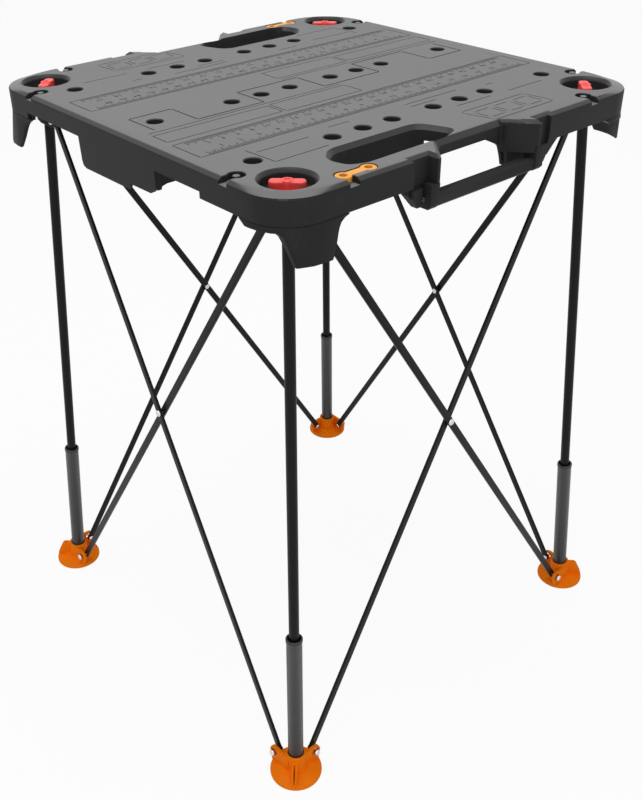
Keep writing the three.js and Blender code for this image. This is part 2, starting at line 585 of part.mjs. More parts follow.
// Front foot: round base, sleeve boss, outward fin and two brace ears
function foot() {
  const centre = new THREE.Matrix4().makeTranslation(-HALF, -HALF, 0);
  const base = turned([[0, 0], [FOOT_RADIUS, 0], [FOOT_RADIUS, FOOT_RIM], [FOOT_RADIUS - 2.5, FOOT_RIM + 1.5],
    [18, 9], [0, 9]], 20, centre);
  const boss = turned([[0, 4], [FOOT_BOSS_RADIUS + 2.5, 4], [FOOT_BOSS_RADIUS, 14], [FOOT_BOSS_RADIUS, FOOT_BOSS_TOP],
    [0, FOOT_BOSS_TOP]], 12, legFrame());
  const diagonal = new THREE.Matrix4().makeBasis(
    new THREE.Vector3(-1, -1, 0).normalize(), new THREE.Vector3(0, 0, 1),
    new THREE.Vector3(-1, 1, 0).normalize()).setPosition(-HALF, -HALF, 0);
  const fin = prism([[9, 3], [33.5, 3], [33, 10], [23, FIN_TOP], [9, FIN_TOP]], -FIN_HALF, FIN_HALF, diagonal);
  const innerEar = prism(footEar(-FOOT_PIVOT_U), -FOOT_INNER_EAR[1], -FOOT_INNER_EAR[0], sideFrame());
  const outerEar = prism(footEar(FOOT_PIVOT_U), -FOOT_OUTER_EAR[1], -FOOT_OUTER_EAR[0], sideFrame(-1));
  return cut(union([base, boss, fin, innerEar, outerEar]), [
    cylinder(0, 0, SLEEVE_RADIUS + 0.8, SLEEVE_BOTTOM - 0.5, 60, 12, legFrame()),
    sideHole(-FOOT_PIVOT_U, FOOT_PIVOT_Z, FOOT_EAR_HOLE, 0),
    sideHole(FOOT_PIVOT_U, FOOT_PIVOT_Z, FOOT_EAR_HOLE, -1),
  ]);
}

const CROSS_Z = HUB_PIVOT_Z - (HUB_PIVOT_Z - FOOT_PIVOT_Z) * HUB_PIVOT_U / (HUB_PIVOT_U + FOOT_PIVOT_U);

// Flat brace from a hub pivot to the opposite foot pivot
function brace(hubSide, [near, far], crossHole) {
  const top = [hubSide * HUB_PIVOT_U, HUB_PIVOT_Z * STRETCH];
  const bottom = [-hubSide * FOOT_PIVOT_U, FOOT_PIVOT_Z * STRETCH];
  const holes = [ring(...top, BRACE_HOLE, 8), ring(0, CROSS_Z * STRETCH, crossHole, 8),
    ring(...bottom, BRACE_HOLE, 8)];
  return prism(rounded(top, bottom, BRACE_HALF_WIDTH, 5), -far, -near, sideFrame(), holes);
}

// Rivet across a side: its heads lie outside the two given depths
function rivet(u, z, outer, inner, radius = RIVET_RADIUS) {
  const frame = sideFrame().multiply(new THREE.Matrix4().makeTranslation(u, z * STRETCH, 0));
  const high = -outer + 0.3;
  const low = -inner - 0.3;
  const tail = RIVET_HEAD - 0.6;
  return turned([[0, low - 1.6], [tail, low - 0.9], [tail, low], [radius, low], [radius, high], [RIVET_HEAD, high],
    [RIVET_HEAD - 0.4, high + 1.2], [0, high + 2.4]], 8, frame);
}

// Carry handle: a grip between two arms, bored for its rod
function carryHandle() {
  const grip = alongX([[-291, 745], [-288, 742], [-279, 742], [-276, 745], [-276, 754], [-279, 757], [-288, 757],
    [-291, 754]], -GRIP_HALF - 1, GRIP_HALF + 1);
  const arm = [[-293, 746], [-289, 742], [-279, 742], [-275, 745], [-275, 757], [-279, 763], [-282.5, 764],
    [-282.5, 769.9], [-293, 769.9]];
  const bore = alongX(ring(PIVOT_Y, PIVOT_Z, ROD_RADIUS + 0.3, 10), -ARM_OUT - 5, ARM_OUT + 5);
  return union([grip, alongX(arm, GRIP_HALF, ARM_OUT), alongX(arm, -ARM_OUT, -GRIP_HALF)]).subtract(bore);
}

// Handle rod with a collar outside each arm
function handleRod() {
  const frame = new THREE.Matrix4().makeBasis(new THREE.Vector3(0, 1, 0), new THREE.Vector3(0, 0, 1),
    new THREE.Vector3(1, 0, 0)).setPosition(0, PIVOT_Y, PIVOT_Z);
  const collar = ARM_OUT + CLEAR;
  const end = [[ROD_RADIUS, collar], [COLLAR_RADIUS, collar], [COLLAR_RADIUS, collar + 3], [ROD_RADIUS, collar + 3],
    [ROD_RADIUS, ROD_HALF], [0, ROD_HALF]];
  const start = end.map(([radius, along]) => [radius, -along]).reverse();
  return turned([...start, ...end], 8, frame);
}

// Link that joins two benches, stored in the front edge
function link() {
  const low = KEY_FLOOR + CLEAR;
  const x = -KEY_ALONG;
  const ends = [x, x + LINK_SPAN];
  const body = union([
    ...ends.map((end) => cylinder(end, -KEY_EDGE, LINK_END_RADIUS, low, LINK_TOP, 14)),
    block(ends[0], ends[1], -KEY_EDGE - LINK_WAIST / 2, -KEY_EDGE + LINK_WAIST / 2, low, LINK_TOP),
  ]);
  return cut(body, ends.map((end) => cylinder(end, -KEY_EDGE, LINK_HOLE, low - 3, TOP + 3, 8)));
}

addPiece('table_top', tableTop(), GREY);
CORNERS.forEach((corner, i) => {
  addPiece(`corner_socket_${corner}`, cornerSocket(), DARK, i);
  addPiece(`lock_knob_${corner}`, lockKnob(), RED, i);
  addPiece(`hub_${corner}`, hub(), DARK, i);
  addPiece(`leg_tube_${corner}`, legTube(), BLACK_METAL, i);
  addPiece(`leg_sleeve_${corner}`, legSleeve(), SLEEVE_METAL, i);
  addPiece(`foot_${corner}`, foot(), ORANGE, i);
});
SIDES.forEach((side, i) => {
  addPiece(`outer_brace_${side}`, brace(-1, OUTER_BRACE, BRACE_HOLE), BLACK_METAL, i);
  addPiece(`inner_brace_${side}`, brace(1, INNER_BRACE, CROSS_SLACK_HOLE), BLACK_METAL, i);
  addPiece(`cross_rivet_${side}`, rivet(0, CROSS_Z, OUTER_BRACE[0], INNER_BRACE[1], RIVET_RADIUS - 0.2), STEEL, i);
  addPiece(`outer_hub_rivet_${side}`, rivet(-HUB_PIVOT_U, HUB_PIVOT_Z, HUB_OUTER_EAR[0], OUTER_BRACE[1]), STEEL, i);
  addPiece(`inner_hub_rivet_${side}`, rivet(HUB_PIVOT_U, HUB_PIVOT_Z, HUB_INNER_EAR[0], INNER_BRACE[1]), STEEL, i);
  addPiece(`outer_foot_rivet_${side}`,
    rivet(FOOT_PIVOT_U, FOOT_PIVOT_Z, FOOT_OUTER_EAR[0] - FOOT_HEAD_STANDOFF, OUTER_BRACE[1]), STEEL, i);
  addPiece(`inner_foot_rivet_${side}`,
    rivet(-FOOT_PIVOT_U, FOOT_PIVOT_Z, FOOT_INNER_EAR[0] - FOOT_HEAD_STANDOFF, INNER_BRACE[1]), STEEL, i);
});
['front_right', 'back_left'].forEach((side, i) => {
  addPiece(`carry_handle_${side}`, carryHandle(), DARK, 2 * i);
  addPiece(`handle_rod_${side}`, handleRod(), STEEL, 2 * i);
  addPiece(`link_${side}`, link(), ORANGE, 2 * i);
});

export default group;
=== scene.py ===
"""Dresses a folding workbench: fine surfaces, finishes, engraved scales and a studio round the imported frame."""
import math

import bmesh
import bpy
from bpy.props import FloatProperty, FloatVectorProperty, IntProperty, PointerProperty
from bpy.types import Operator, Panel, PropertyGroup
from mathutils import Matrix, Vector


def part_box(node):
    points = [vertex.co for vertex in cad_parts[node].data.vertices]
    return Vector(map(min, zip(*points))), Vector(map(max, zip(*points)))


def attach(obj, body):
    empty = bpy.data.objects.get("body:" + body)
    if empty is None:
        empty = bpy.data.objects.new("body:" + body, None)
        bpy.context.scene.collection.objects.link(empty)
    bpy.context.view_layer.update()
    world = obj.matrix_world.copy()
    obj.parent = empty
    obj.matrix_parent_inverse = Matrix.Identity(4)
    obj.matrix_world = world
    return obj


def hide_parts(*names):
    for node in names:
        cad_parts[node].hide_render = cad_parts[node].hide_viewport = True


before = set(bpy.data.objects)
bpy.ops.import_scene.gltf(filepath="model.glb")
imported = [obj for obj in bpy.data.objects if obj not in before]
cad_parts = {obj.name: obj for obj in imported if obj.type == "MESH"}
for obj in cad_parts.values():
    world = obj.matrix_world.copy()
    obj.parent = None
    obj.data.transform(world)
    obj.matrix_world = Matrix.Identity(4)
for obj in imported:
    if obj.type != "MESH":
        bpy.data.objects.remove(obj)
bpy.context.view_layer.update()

bl_info = {
    "name": "Folding workbench",
    "version": (1, 0, 0),
    "blender": (4, 5, 0),
    "location": "3D View > Sidebar > Workbench",
    "description": "Builds the surfaces, finishes and studio of a folding workbench",
    "category": "Object",
}

CORNERS = ("front", "right", "back", "left")
SIDES = ("front_right", "right_back", "back_left", "left_front")
HANDLE_SIDES = ("front_right", "back_left")

# Table top, in metres
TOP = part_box("table_top")[1].z
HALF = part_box("table_top")[1].x
CORNER_RADIUS = 0.050
TOP_CORNER_RADIUS = 0.069
UNDERSIDE = TOP - 0.006
SKIRT_BOTTOM = TOP - 0.0315
SKIRT_WALL = 0.0035
SIDE_SKIRT_BOTTOM = TOP - 0.024
SIDE_SKIRT_RUN = (-0.205, 0.156)
RIB_BOTTOM = TOP - 0.015
RIB_WALL = 0.003
RIB_X = (-0.177, -0.0557, 0.0557, 0.177)
RIB_Y = (-0.088, 0.088)
RIB_HALF = 0.255

# Bench-dog holes
DOG_X = (-0.2309, -0.1229, -0.0781, -0.0333, 0.0333, 0.0781, 0.1229, 0.2309)
DOG_Y = (-0.1759, 0.0, 0.1759)
DOG_RADIUS = 0.00955
DOG_BOSS_RADIUS = 0.013
DOG_BOSS_BOTTOM = TOP - 0.016

# Clamp slots
SLOT_OUTLINE = ((-0.153, -0.207), (-0.171, -0.226), (-0.165, -0.249), (-0.152, -0.258), (-0.030, -0.256),
                (-0.013, -0.246), (-0.027, -0.208))
SLOT_WALL = 0.003
SLOT_BOTTOM = TOP - 0.041
SLOT_FRONT = -0.215
SLOT_RIM = 0.005

# Knob wells and knobs
KNOB_PLACE = -0.2376
WELL_RIM_RADIUS = 0.0305
WELL_RADIUS = 0.0275
WELL_WALL = 0.003
WELL_FLOOR = TOP - 0.014
WELL_BOTTOM = TOP - 0.017
SHAFT_RADIUS = 0.005
SHAFT_HOLE = 0.0055
KNOB_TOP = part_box("lock_knob_front")[1].z
KNOB_BASE_RADIUS = 0.015
KNOB_HALF_LENGTH = 0.0185
KNOB_HALF_WIDTH = 0.0062
KNOB_CAP_RADIUS = 0.0066
LUG_BOTTOM = TOP - 0.032
LUG_TOP = TOP - 0.0282
LUG_HALF_LENGTH = 0.006
LUG_HALF_WIDTH = 0.0035

# Keyhole pockets and links
KEY_EDGE = 0.2675
KEY_ALONG = 0.192
SIDE_KEY_ALONG = 0.196
KEY_RADIUS = 0.0094
KEY_CHANNEL = 0.013
KEY_FLOOR = TOP - 0.007
KEY_PAD_BOTTOM = TOP - 0.0105
KEY_PAD_HALF = 0.014
PEG_RADIUS = 0.0041
LINK_SPAN = 0.034
LINK_END_RADIUS = 0.0086
LINK_HALF_WAIST = 0.005
LINK_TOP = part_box("link_front_right")[1].z
LINK_HOLE = 0.0044

# Handle recess and handle
NOTCH_OUT = 0.110
NOTCH_IN = 0.084
NOTCH_FACE = 0.280
EAR_TIP_X = 0.080
EAR_TIP_Y = -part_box("table_top")[0].y
EAR_BOTTOM = TOP - 0.0295
EAR_CHAMFER = 0.003
WEDGE_OUT = 0.0784
WEDGE_BOTTOM = 0.7635
RECESS_HALF = 0.052
RECESS_FACE = 0.261
RECESS_BOTTOM = TOP - 0.017
RECESS_CHAMFER = 0.0075
PIVOT_Y = -0.281
PIVOT_Z = 0.7505
ROD_RADIUS = 0.0025
ROD_HALF = 0.103
COLLAR_RADIUS = 0.0048
COLLAR_FROM = 0.0924
COLLAR_LENGTH = 0.003
BOSS_IN = 0.0965
BOSS_OUT = 0.112
BOSS_BOTTOM = 0.746
BOSS_TOP = 0.766
BACK_WALL = 0.268

# Leg frame: every leg leans the same amount in x and in y
LEAN = 0.06
STRETCH = math.hypot(1.0, LEAN)
HUB_PIVOT_U = 0.212
HUB_PIVOT_Z = 0.756
FOOT_PIVOT_U = 0.257
FOOT_PIVOT_Z = 0.020
CROSS_Z = HUB_PIVOT_Z - (HUB_PIVOT_Z - FOOT_PIVOT_Z) * HUB_PIVOT_U / (HUB_PIVOT_U + FOOT_PIVOT_U)
TUBE_RADIUS = 0.0065
TUBE_BORE = 0.0052
TUBE_ENDS = (0.036, 0.762)
SLEEVE_RADIUS = 0.0102
SLEEVE_BORE = 0.0089
SLEEVE_ENDS = (0.010, 0.228)
SLEEVE_LIP_RADIUS = 0.0109
SLEEVE_LIP = 0.006
BRACE_HALF_WIDTH = 0.00475
BRACE_HOLE = 0.0025
CROSS_SLACK_HOLE = 0.0035

# Depths inward from the plane of the leg axes
OUTER_BRACE = (-0.0078, -0.0042)
INNER_BRACE = (-0.0018, 0.0018)
HUB_OUTER_EAR = -0.0122
HUB_INNER_EAR = -0.0062
FOOT_OUTER_EAR = (-0.0157, -0.0107)
FOOT_INNER_EAR = (-0.0097, -0.0047)
FOOT_HEAD_STANDOFF = 0.0029
FOOT_EAR_HOLE = 0.0056
RIVET_RADIUS = 0.0021
RIVET_HEAD = 0.0046
RIVET_TAIL = 0.0040

# Feet
FOOT_RADIUS = 0.0345
FOOT_BOSS_RADIUS = 0.014
FOOT_BOSS_TOP = 0.032
FOOT_EAR_RADIUS = 0.0082
FIN_HALF = 0.0034
FIN_SPLIT = 0.0011
FIN_TOP = 0.0295

# Engraved scales and lines on the table top
RULER_X = 0.264
RULER_Y = (-0.1325, -0.082)
TICK_PITCH = 0.0025
TICKS = 201
TICK_WIDTH = 0.0009
NUMBER_HEIGHT = 0.0105
SCALES = ((0.020, 2, 25, RULER_Y[1] - 0.0168), (0.0254, 1, 20, RULER_Y[0] + 0.0168))

# Camera, fitted to a picture of 642 by 800 pixels
IMAGE = (642, 800)
FOCAL_PIXELS = 999.5
OPTICAL_AXIS = (296.2, 401.4)
CAMERA_PLACE = (-0.8270, -0.9484, 1.1429)
AZIMUTH = math.radians(-39.93)
ELEVATION = math.radians(32.97)
ROLL = math.radians(-1.16)
SENSOR = 36.0


class WorkbenchTop(PropertyGroup):
    """Sizes of the table top's finish"""

    chamfer_in: FloatProperty(name="Chamfer in", description="Width of the rim chamfer seen from above",
                              default=0.005, unit="LENGTH")
    chamfer_down: FloatProperty(name="Chamfer down", description="Height of the rim chamfer",
                                default=0.004, unit="LENGTH")
    hole_chamfer: FloatProperty(name="Hole chamfer", description="Chamfer at the mouth of each dog hole",
                                default=0.0011, unit="LENGTH")
    groove_width: FloatProperty(name="Groove width", description="Width of the engraved lines",
                                default=0.0012, unit="LENGTH")
    zigzag_width: FloatProperty(name="Zigzag width", description="Width of the stepped line between the holes",
                                default=0.0019, unit="LENGTH")
    groove_depth: FloatProperty(name="Groove depth", description="Depth of the engraved lines",
                                default=0.0007, unit="LENGTH")


class WorkbenchFrame(PropertyGroup):
    """Sizes of the leg frame's finish"""

    segments: IntProperty(name="Segments", description="Sides of the round tubes and sleeves", default=40)
    brace_edge: FloatProperty(name="Brace edge", description="Rounding of the flat bars' edges",
                              default=0.0006, unit="LENGTH")
    moulding_edge: FloatProperty(name="Moulding edge", description="Rounding of the moulded pieces' edges",
                                 default=0.0008, unit="LENGTH")


class WorkbenchColours(PropertyGroup):
    """Colours of the finishes"""

    # Deck colour: painted light, a lit copy of the moulding's plastic made far lighter than the sides because light
    # falls from above; the grain itself is real
    deck: FloatVectorProperty(name="Deck", description="Grained upper face of the table top",
                              subtype="COLOR", size=3, default=(0.195, 0.195, 0.197))
    # Rim colour: painted part light, between the lit deck and the dark sides, for the sloping chamfers
    rim: FloatVectorProperty(name="Rim", description="Smooth chamfers of the table top and walls of its holes",
                             subtype="COLOR", size=3, default=(0.042, 0.0422, 0.043))
    moulding: FloatVectorProperty(name="Moulding", description="Sides and underside of the table top",
                                  subtype="COLOR", size=3, default=(0.025, 0.0252, 0.0258))
    dark: FloatVectorProperty(name="Dark moulding", description="Sockets, hubs and handles",
                              subtype="COLOR", size=3, default=(0.024, 0.0242, 0.025))
    knob: FloatVectorProperty(name="Knob", description="Red twist knobs",
                              subtype="COLOR", size=3, default=(0.98, 0.080, 0.070))
    orange: FloatVectorProperty(name="Orange", description="Moulded feet",
                                subtype="COLOR", size=3, default=(1.0, 0.225, 0.002))
    link: FloatVectorProperty(name="Link", description="Pale orange links",
                              subtype="COLOR", size=3, default=(0.98, 0.430, 0.070))
    tube: FloatVectorProperty(name="Tube", description="Black coat of the tubes and bars",
                              subtype="COLOR", size=3, default=(0.0085, 0.0081, 0.0082))
    sleeve: FloatVectorProperty(name="Sleeve", description="Satin coat of the lower sleeves",
                                subtype="COLOR", size=3, default=(0.030, 0.0302, 0.031))
    steel: FloatVectorProperty(name="Steel", description="Plated rivets and rods",
                               subtype="COLOR", size=3, default=(0.66, 0.67, 0.69))


class WorkbenchStudio(PropertyGroup):
    """Light of the studio"""

    key: FloatProperty(name="Key light", description="Power of the large lamp above", default=36.0, unit="POWER")
    fill: FloatProperty(name="Fill light", description="Power of the lamp by the camera", default=9.0,
                        unit="POWER")
    sky: FloatProperty(name="Sky", description="Strength of the light from all round", default=0.40)


# Mesh tools

def add_object(name, mesh):
    piece = bpy.data.objects.new(name, mesh)
    bpy.context.scene.collection.objects.link(piece)
    return piece


def remove_object(piece):
    mesh = piece.data
    bpy.data.objects.remove(piece)
    bpy.data.meshes.remove(mesh)


def solid(vertices, faces, place=None):
    """Closed mesh object with its faces turned outward."""
    mesh = bpy.data.meshes.new("solid")
    mesh.from_pydata(vertices, [], faces)
    shape = bmesh.new()
    shape.from_mesh(mesh)
    bmesh.ops.remove_doubles(shape, verts=shape.verts, dist=1e-7)
    bmesh.ops.recalc_face_normals(shape, faces=shape.faces)
    if shape.calc_volume(signed=True) < 0.0:
        bmesh.ops.reverse_faces(shape, faces=shape.faces)
    shape.to_mesh(mesh)
    shape.free()
    if place is not None:
        mesh.transform(place)
    return add_object("solid", mesh)


def loft(levels, place=None):
    """Solid through a stack of (outline, height) levels whose outlines have the same number of points."""
    count = len(levels[0][0])
    vertices = [(x, y, z) for outline, z in levels for x, y in outline]
    faces = [tuple(range(count))[::-1], tuple(range(len(vertices) - count, len(vertices)))]
    for level in range(len(levels) - 1):
        for i in range(count):
            a = level * count + i
            b = level * count + (i + 1) % count
            faces.append((a, b, b + count, a + count))
    return solid(vertices, faces, place)


def prism(outline, low, high, place=None):
    return loft([(outline, low), (outline, high)], place)


def block(low, high):
    outline = [(low[0], low[1]), (high[0], low[1]), (high[0], high[1]), (low[0], high[1])]
    return prism(outline, low[2], high[2])


def turned(profile, count, place=None):
    """Solid of a profile of (radius, height) points turned about z, from axis to axis or closed on itself."""
    vertices = []
    for radius, height in profile:
        for i in range(count):
            angle = 2.0 * math.pi * i / count
            vertices.append((radius * math.cos(angle), radius * math.sin(angle), height))
    closed = profile[0][0] > 0.0
    rings = len(profile)
    faces = []
    for level in range(rings if closed else rings - 1):
        upper = (level + 1) % rings
        for i in range(count):
            j = (i + 1) % count
            faces.append((level * count + i, level * count + j, upper * count + j, upper * count + i))
    return solid(vertices, faces, place)


def bake(piece):
    """Puts the result of the modifiers in the mesh and removes them."""
    graph = bpy.context.evaluated_depsgraph_get()
    mesh = bpy.data.meshes.new_from_object(piece.evaluated_get(graph))
    old = piece.data
    piece.modifiers.clear()
    piece.data = mesh
    bpy.data.meshes.remove(old)
    return piece


def carve(base, tools, operation="DIFFERENCE"):
    """Joins the tools to the base or cuts them out of it."""
    for tool in tools:
        step = base.modifiers.new("Carve", "BOOLEAN")
        step.solver = "MANIFOLD"
        step.operation = operation
        step.object = tool
    bake(base)
    for tool in tools:
        remove_object(tool)
    return base


def bevel(piece, width, segments=2, angle=35.0):
    step = piece.modifiers.new("Edge", "BEVEL")
    step.width = width
    step.segments = segments
    step.limit_method = "ANGLE"
    step.angle_limit = math.radians(angle)
    return bake(piece)


def smooth(piece, angle=35.0):
    mesh = piece.data
    mesh.polygons.foreach_set("use_smooth", [True] * len(mesh.polygons))
    mesh.set_sharp_from_angle(angle=math.radians(angle))
    mesh.update()
    return piece


def cad_copy(node):
    """Welded copy of a CAD node, with its flat faces joined."""
    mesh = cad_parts[node].data.copy()
    mesh.materials.clear()
    shape = bmesh.new()
    shape.from_mesh(mesh)
    bmesh.ops.remove_doubles(shape, verts=shape.verts, dist=1e-6)
    bmesh.ops.dissolve_limit(shape, angle_limit=math.radians(0.5), verts=shape.verts, edges=shape.edges)
    for face in shape.faces:
        face.smooth = False
    shape.to_mesh(mesh)
    shape.free()
    return add_object("copy", mesh)


def quarter_copy(piece, turns):
    mesh = piece.data.copy()
    mesh.transform(Matrix.Rotation(turns * math.pi / 2.0, 4, "Z"))
    return add_object("copy", mesh)


def half_copy(piece):
    return quarter_copy(piece, 2)


def finish_piece(piece, name, material, body, nodes):
    """Names a finished piece, gives it its finish and ties it to the frame."""
    piece.name = name
    piece.data.name = name
    if material is not None:
        piece.data.materials.clear()
        piece.data.materials.append(material)
    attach(piece, body)
    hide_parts(*nodes)
    return piece


# Outlines

def arc(x, y, radius, start, sweep, steps):
    points = []
    for i in range(steps + 1):
        angle = start + sweep * i / steps
        points.append((x + radius * math.cos(angle), y + radius * math.sin(angle)))
    return points


def circle(x, y, radius, count):
    return arc(x, y, radius, 0.0, 2.0 * math.pi * (count - 1) / count, count - 1)


def capsule(start, end, radius, steps=12):
    """Outline of a bar with round ends between two points."""
    angle = math.atan2(end[1] - start[1], end[0] - start[0])
    return (arc(*end, radius, angle - math.pi / 2.0, math.pi, steps)
            + arc(*start, radius, angle + math.pi / 2.0, math.pi, steps))


def rounded_box(half_x, half_y, radius, steps=6):
    points = []
    for sx, sy, start in ((1, 1, 0.0), (-1, 1, 0.5), (-1, -1, 1.0), (1, -1, 1.5)):
        points += arc(sx * (half_x - radius), sy * (half_y - radius), radius, start * math.pi, math.pi / 2.0, steps)
    return points


def grown(outline, distance):
    """Outline pushed outward from its middle by a distance on each edge."""
    points = []
    count = len(outline)
    for i, (x, y) in enumerate(outline):
        px, py = outline[i - 1]
        nx, ny = outline[(i + 1) % count]
        before = Vector((y - py, px - x)).normalized()
        after = Vector((ny - y, x - nx)).normalized()
        mitre = (before + after).normalized()
        reach = distance / mitre.dot(after)
        points.append((x + mitre.x * reach, y + mitre.y * reach))
    return points


def filleted(outline, radius, steps=5):
    """Outline with its corners rounded."""
    points = []
    count = len(outline)
    for i, corner in enumerate(outline):
        here = Vector(corner)
        before = (Vector(outline[i - 1]) - here)
        after = (Vector(outline[(i + 1) % count]) - here)
        reach = min(radius, 0.45 * before.length, 0.45 * after.length)
        start = here + before.normalized() * reach
        end = here + after.normalized() * reach
        for k in range(steps + 1):
            t = k / steps
            bend = start * (1 - t) ** 2 + here * 2 * t * (1 - t) + end * t ** 2
            points.append((bend.x, bend.y))
    return points


def flipped(outline, side):
    return [(side * x, y) for x, y in outline]


def deck_outline(inset, corner=None):
    """Outline of the table top with its handle recesses, set in from the edge by a distance."""
    radius = CORNER_RADIUS - inset if corner is None else corner
    rise = EAR_TIP_Y - RECESS_FACE
    run = (EAR_TIP_X - RECESS_HALF) / rise
    slant = math.hypot(EAR_TIP_X - RECESS_HALF, rise) / rise

    def slant_x(y):
        return EAR_TIP_X - (EAR_TIP_Y - y) * run + inset * slant

    right = [
        (slant_x(RECESS_FACE - inset), -(RECESS_FACE - inset)),
        (slant_x(NOTCH_FACE - inset), -(NOTCH_FACE - inset)),
        (NOTCH_OUT + inset, -(NOTCH_FACE - inset)),
        (NOTCH_OUT + inset, -(HALF - inset)),
    ]
    left = flipped(right, -1)[::-1]
    centre = HALF - inset - radius
    half = (arc(-centre, -centre, radius, math.pi, math.pi / 2.0, 16) + left + right
            + arc(centre, -centre, radius, 1.5 * math.pi, math.pi / 2.0, 16))
    return half + [(-x, -y) for x, y in half]


# Frames

def side_frame(turns=0):
    """Side of the leg frame: x along the side, y up the leaning plane, z outward."""
    place = Matrix.Translation((0.0, -HALF, 0.0)) @ Matrix((
        (1.0, 0.0, 0.0, 0.0),
        (0.0, LEAN / STRETCH, -1.0 / STRETCH, 0.0),
        (0.0, 1.0 / STRETCH, LEAN / STRETCH, 0.0),
        (0.0, 0.0, 0.0, 1.0),
    ))
    return Matrix.Rotation(turns * math.pi / 2.0, 4, "Z") @ place


def leg_frame():
    """Front leg: z up the leg axis."""
    up = Vector((LEAN, LEAN, 1.0)).normalized()
    across = Vector((1.0, -1.0, 0.0)).normalized()
    ahead = up.cross(across)
    turn = Matrix((across, ahead, up)).transposed().to_4x4()
    return Matrix.Translation((-HALF, -HALF, 0.0)) @ turn


def along_x(outline, low, high):
    """Prism of an outline in y and z, running along x."""
    return prism(outline, low, high, Matrix(((0, 0, 1, 0), (1, 0, 0, 0), (0, 1, 0, 0), (0, 0, 0, 1))))


def along_y(outline, low, high):
    """Prism of an outline in x and z, running along y."""
    return prism(outline, -high, -low, Matrix(((1, 0, 0, 0), (0, 0, -1, 0), (0, 1, 0, 0), (0, 0, 0, 1))))


# Geometry node trees

def node_tree(name, inputs):
    tree = bpy.data.node_groups.get(name)
    if tree is not None:
        return tree, None, None
    tree = bpy.data.node_groups.new(name, "GeometryNodeTree")
    tree.interface.new_socket("Geometry", in_out="INPUT", socket_type="NodeSocketGeometry")
    for label, kind in inputs:
        tree.interface.new_socket(label, in_out="INPUT", socket_type=kind)
    tree.interface.new_socket("Geometry", in_out="OUTPUT", socket_type="NodeSocketGeometry")
    return tree, tree.nodes.new("NodeGroupInput"), tree.nodes.new("NodeGroupOutput")


def math_node(tree, operation, first, second):
    node = tree.nodes.new("ShaderNodeMath")
    node.operation = operation
    for socket, value in zip(node.inputs, (first, second)):
        if isinstance(value, (int, float)):
            socket.default_value = value
        else:
            tree.links.new(value, socket)
    return node.outputs[0]


def end_tree(tree, source, given, taken):
    """Realizes the instances, sets the material and closes the tree."""
    real = tree.nodes.new("GeometryNodeRealizeInstances")
    dress = tree.nodes.new("GeometryNodeSetMaterial")
    tree.links.new(source, real.inputs[0])
    tree.links.new(real.outputs[0], dress.inputs["Geometry"])
    tree.links.new(given.outputs["Material"], dress.inputs["Material"])
    tree.links.new(dress.outputs[0], taken.inputs[0])
    return tree


def dog_hole_tree():
    """One cutter on each point."""
    tree, given, taken = node_tree("Dog hole cutters", (
        ("Cutter", "NodeSocketObject"), ("Material", "NodeSocketMaterial")))
    if given is None:
        return tree
    info = tree.nodes.new("GeometryNodeObjectInfo")
    spread = tree.nodes.new("GeometryNodeInstanceOnPoints")
    tree.links.new(given.outputs["Cutter"], info.inputs["Object"])
    tree.links.new(given.outputs["Geometry"], spread.inputs["Points"])
    tree.links.new(info.outputs["Geometry"], spread.inputs["Instance"])
    return end_tree(tree, spread.outputs[0], given, taken)


def tick_tree():
    """A row of ruler ticks along x, every few of them long."""
    tree, given, taken = node_tree("Ruler ticks", (
        ("Count", "NodeSocketInt"), ("Start", "NodeSocketVector"), ("Pitch", "NodeSocketFloat"),
        ("Short", "NodeSocketFloat"), ("Long", "NodeSocketFloat"), ("Every", "NodeSocketInt"),
        ("Width", "NodeSocketFloat"), ("Depth", "NodeSocketFloat"), ("Side", "NodeSocketFloat"),
        ("Material", "NodeSocketMaterial")))
    if given is None:
        return tree
    pitch = tree.nodes.new("ShaderNodeCombineXYZ")
    row = tree.nodes.new("GeometryNodeMeshLine")
    tree.links.new(given.outputs["Pitch"], pitch.inputs["X"])
    tree.links.new(given.outputs["Count"], row.inputs["Count"])
    tree.links.new(given.outputs["Start"], row.inputs["Start Location"])
    tree.links.new(pitch.outputs[0], row.inputs["Offset"])
    index = tree.nodes.new("GeometryNodeInputIndex")
    place = math_node(tree, "MODULO", index.outputs[0], given.outputs["Every"])
    is_long = math_node(tree, "LESS_THAN", place, 0.5)
    extra = math_node(tree, "SUBTRACT", given.outputs["Long"], given.outputs["Short"])
    added = math_node(tree, "MULTIPLY", is_long, extra)
    length = math_node(tree, "ADD", given.outputs["Short"], added)
    half = math_node(tree, "MULTIPLY", length, 0.5)
    shift = tree.nodes.new("ShaderNodeCombineXYZ")
    tree.links.new(math_node(tree, "MULTIPLY", half, given.outputs["Side"]), shift.inputs["Y"])
    moved = tree.nodes.new("GeometryNodeSetPosition")
    tree.links.new(row.outputs[0], moved.inputs["Geometry"])
    tree.links.new(shift.outputs[0], moved.inputs["Offset"])
    size = tree.nodes.new("ShaderNodeCombineXYZ")
    tree.links.new(given.outputs["Width"], size.inputs["X"])
    tree.links.new(length, size.inputs["Y"])
    tree.links.new(given.outputs["Depth"], size.inputs["Z"])
    cube = tree.nodes.new("GeometryNodeMeshCube")
    spread = tree.nodes.new("GeometryNodeInstanceOnPoints")
    tree.links.new(moved.outputs[0], spread.inputs["Points"])
    tree.links.new(cube.outputs["Mesh"], spread.inputs["Instance"])
    tree.links.new(size.outputs[0], spread.inputs["Scale"])
    return end_tree(tree, spread.outputs[0], given, taken)


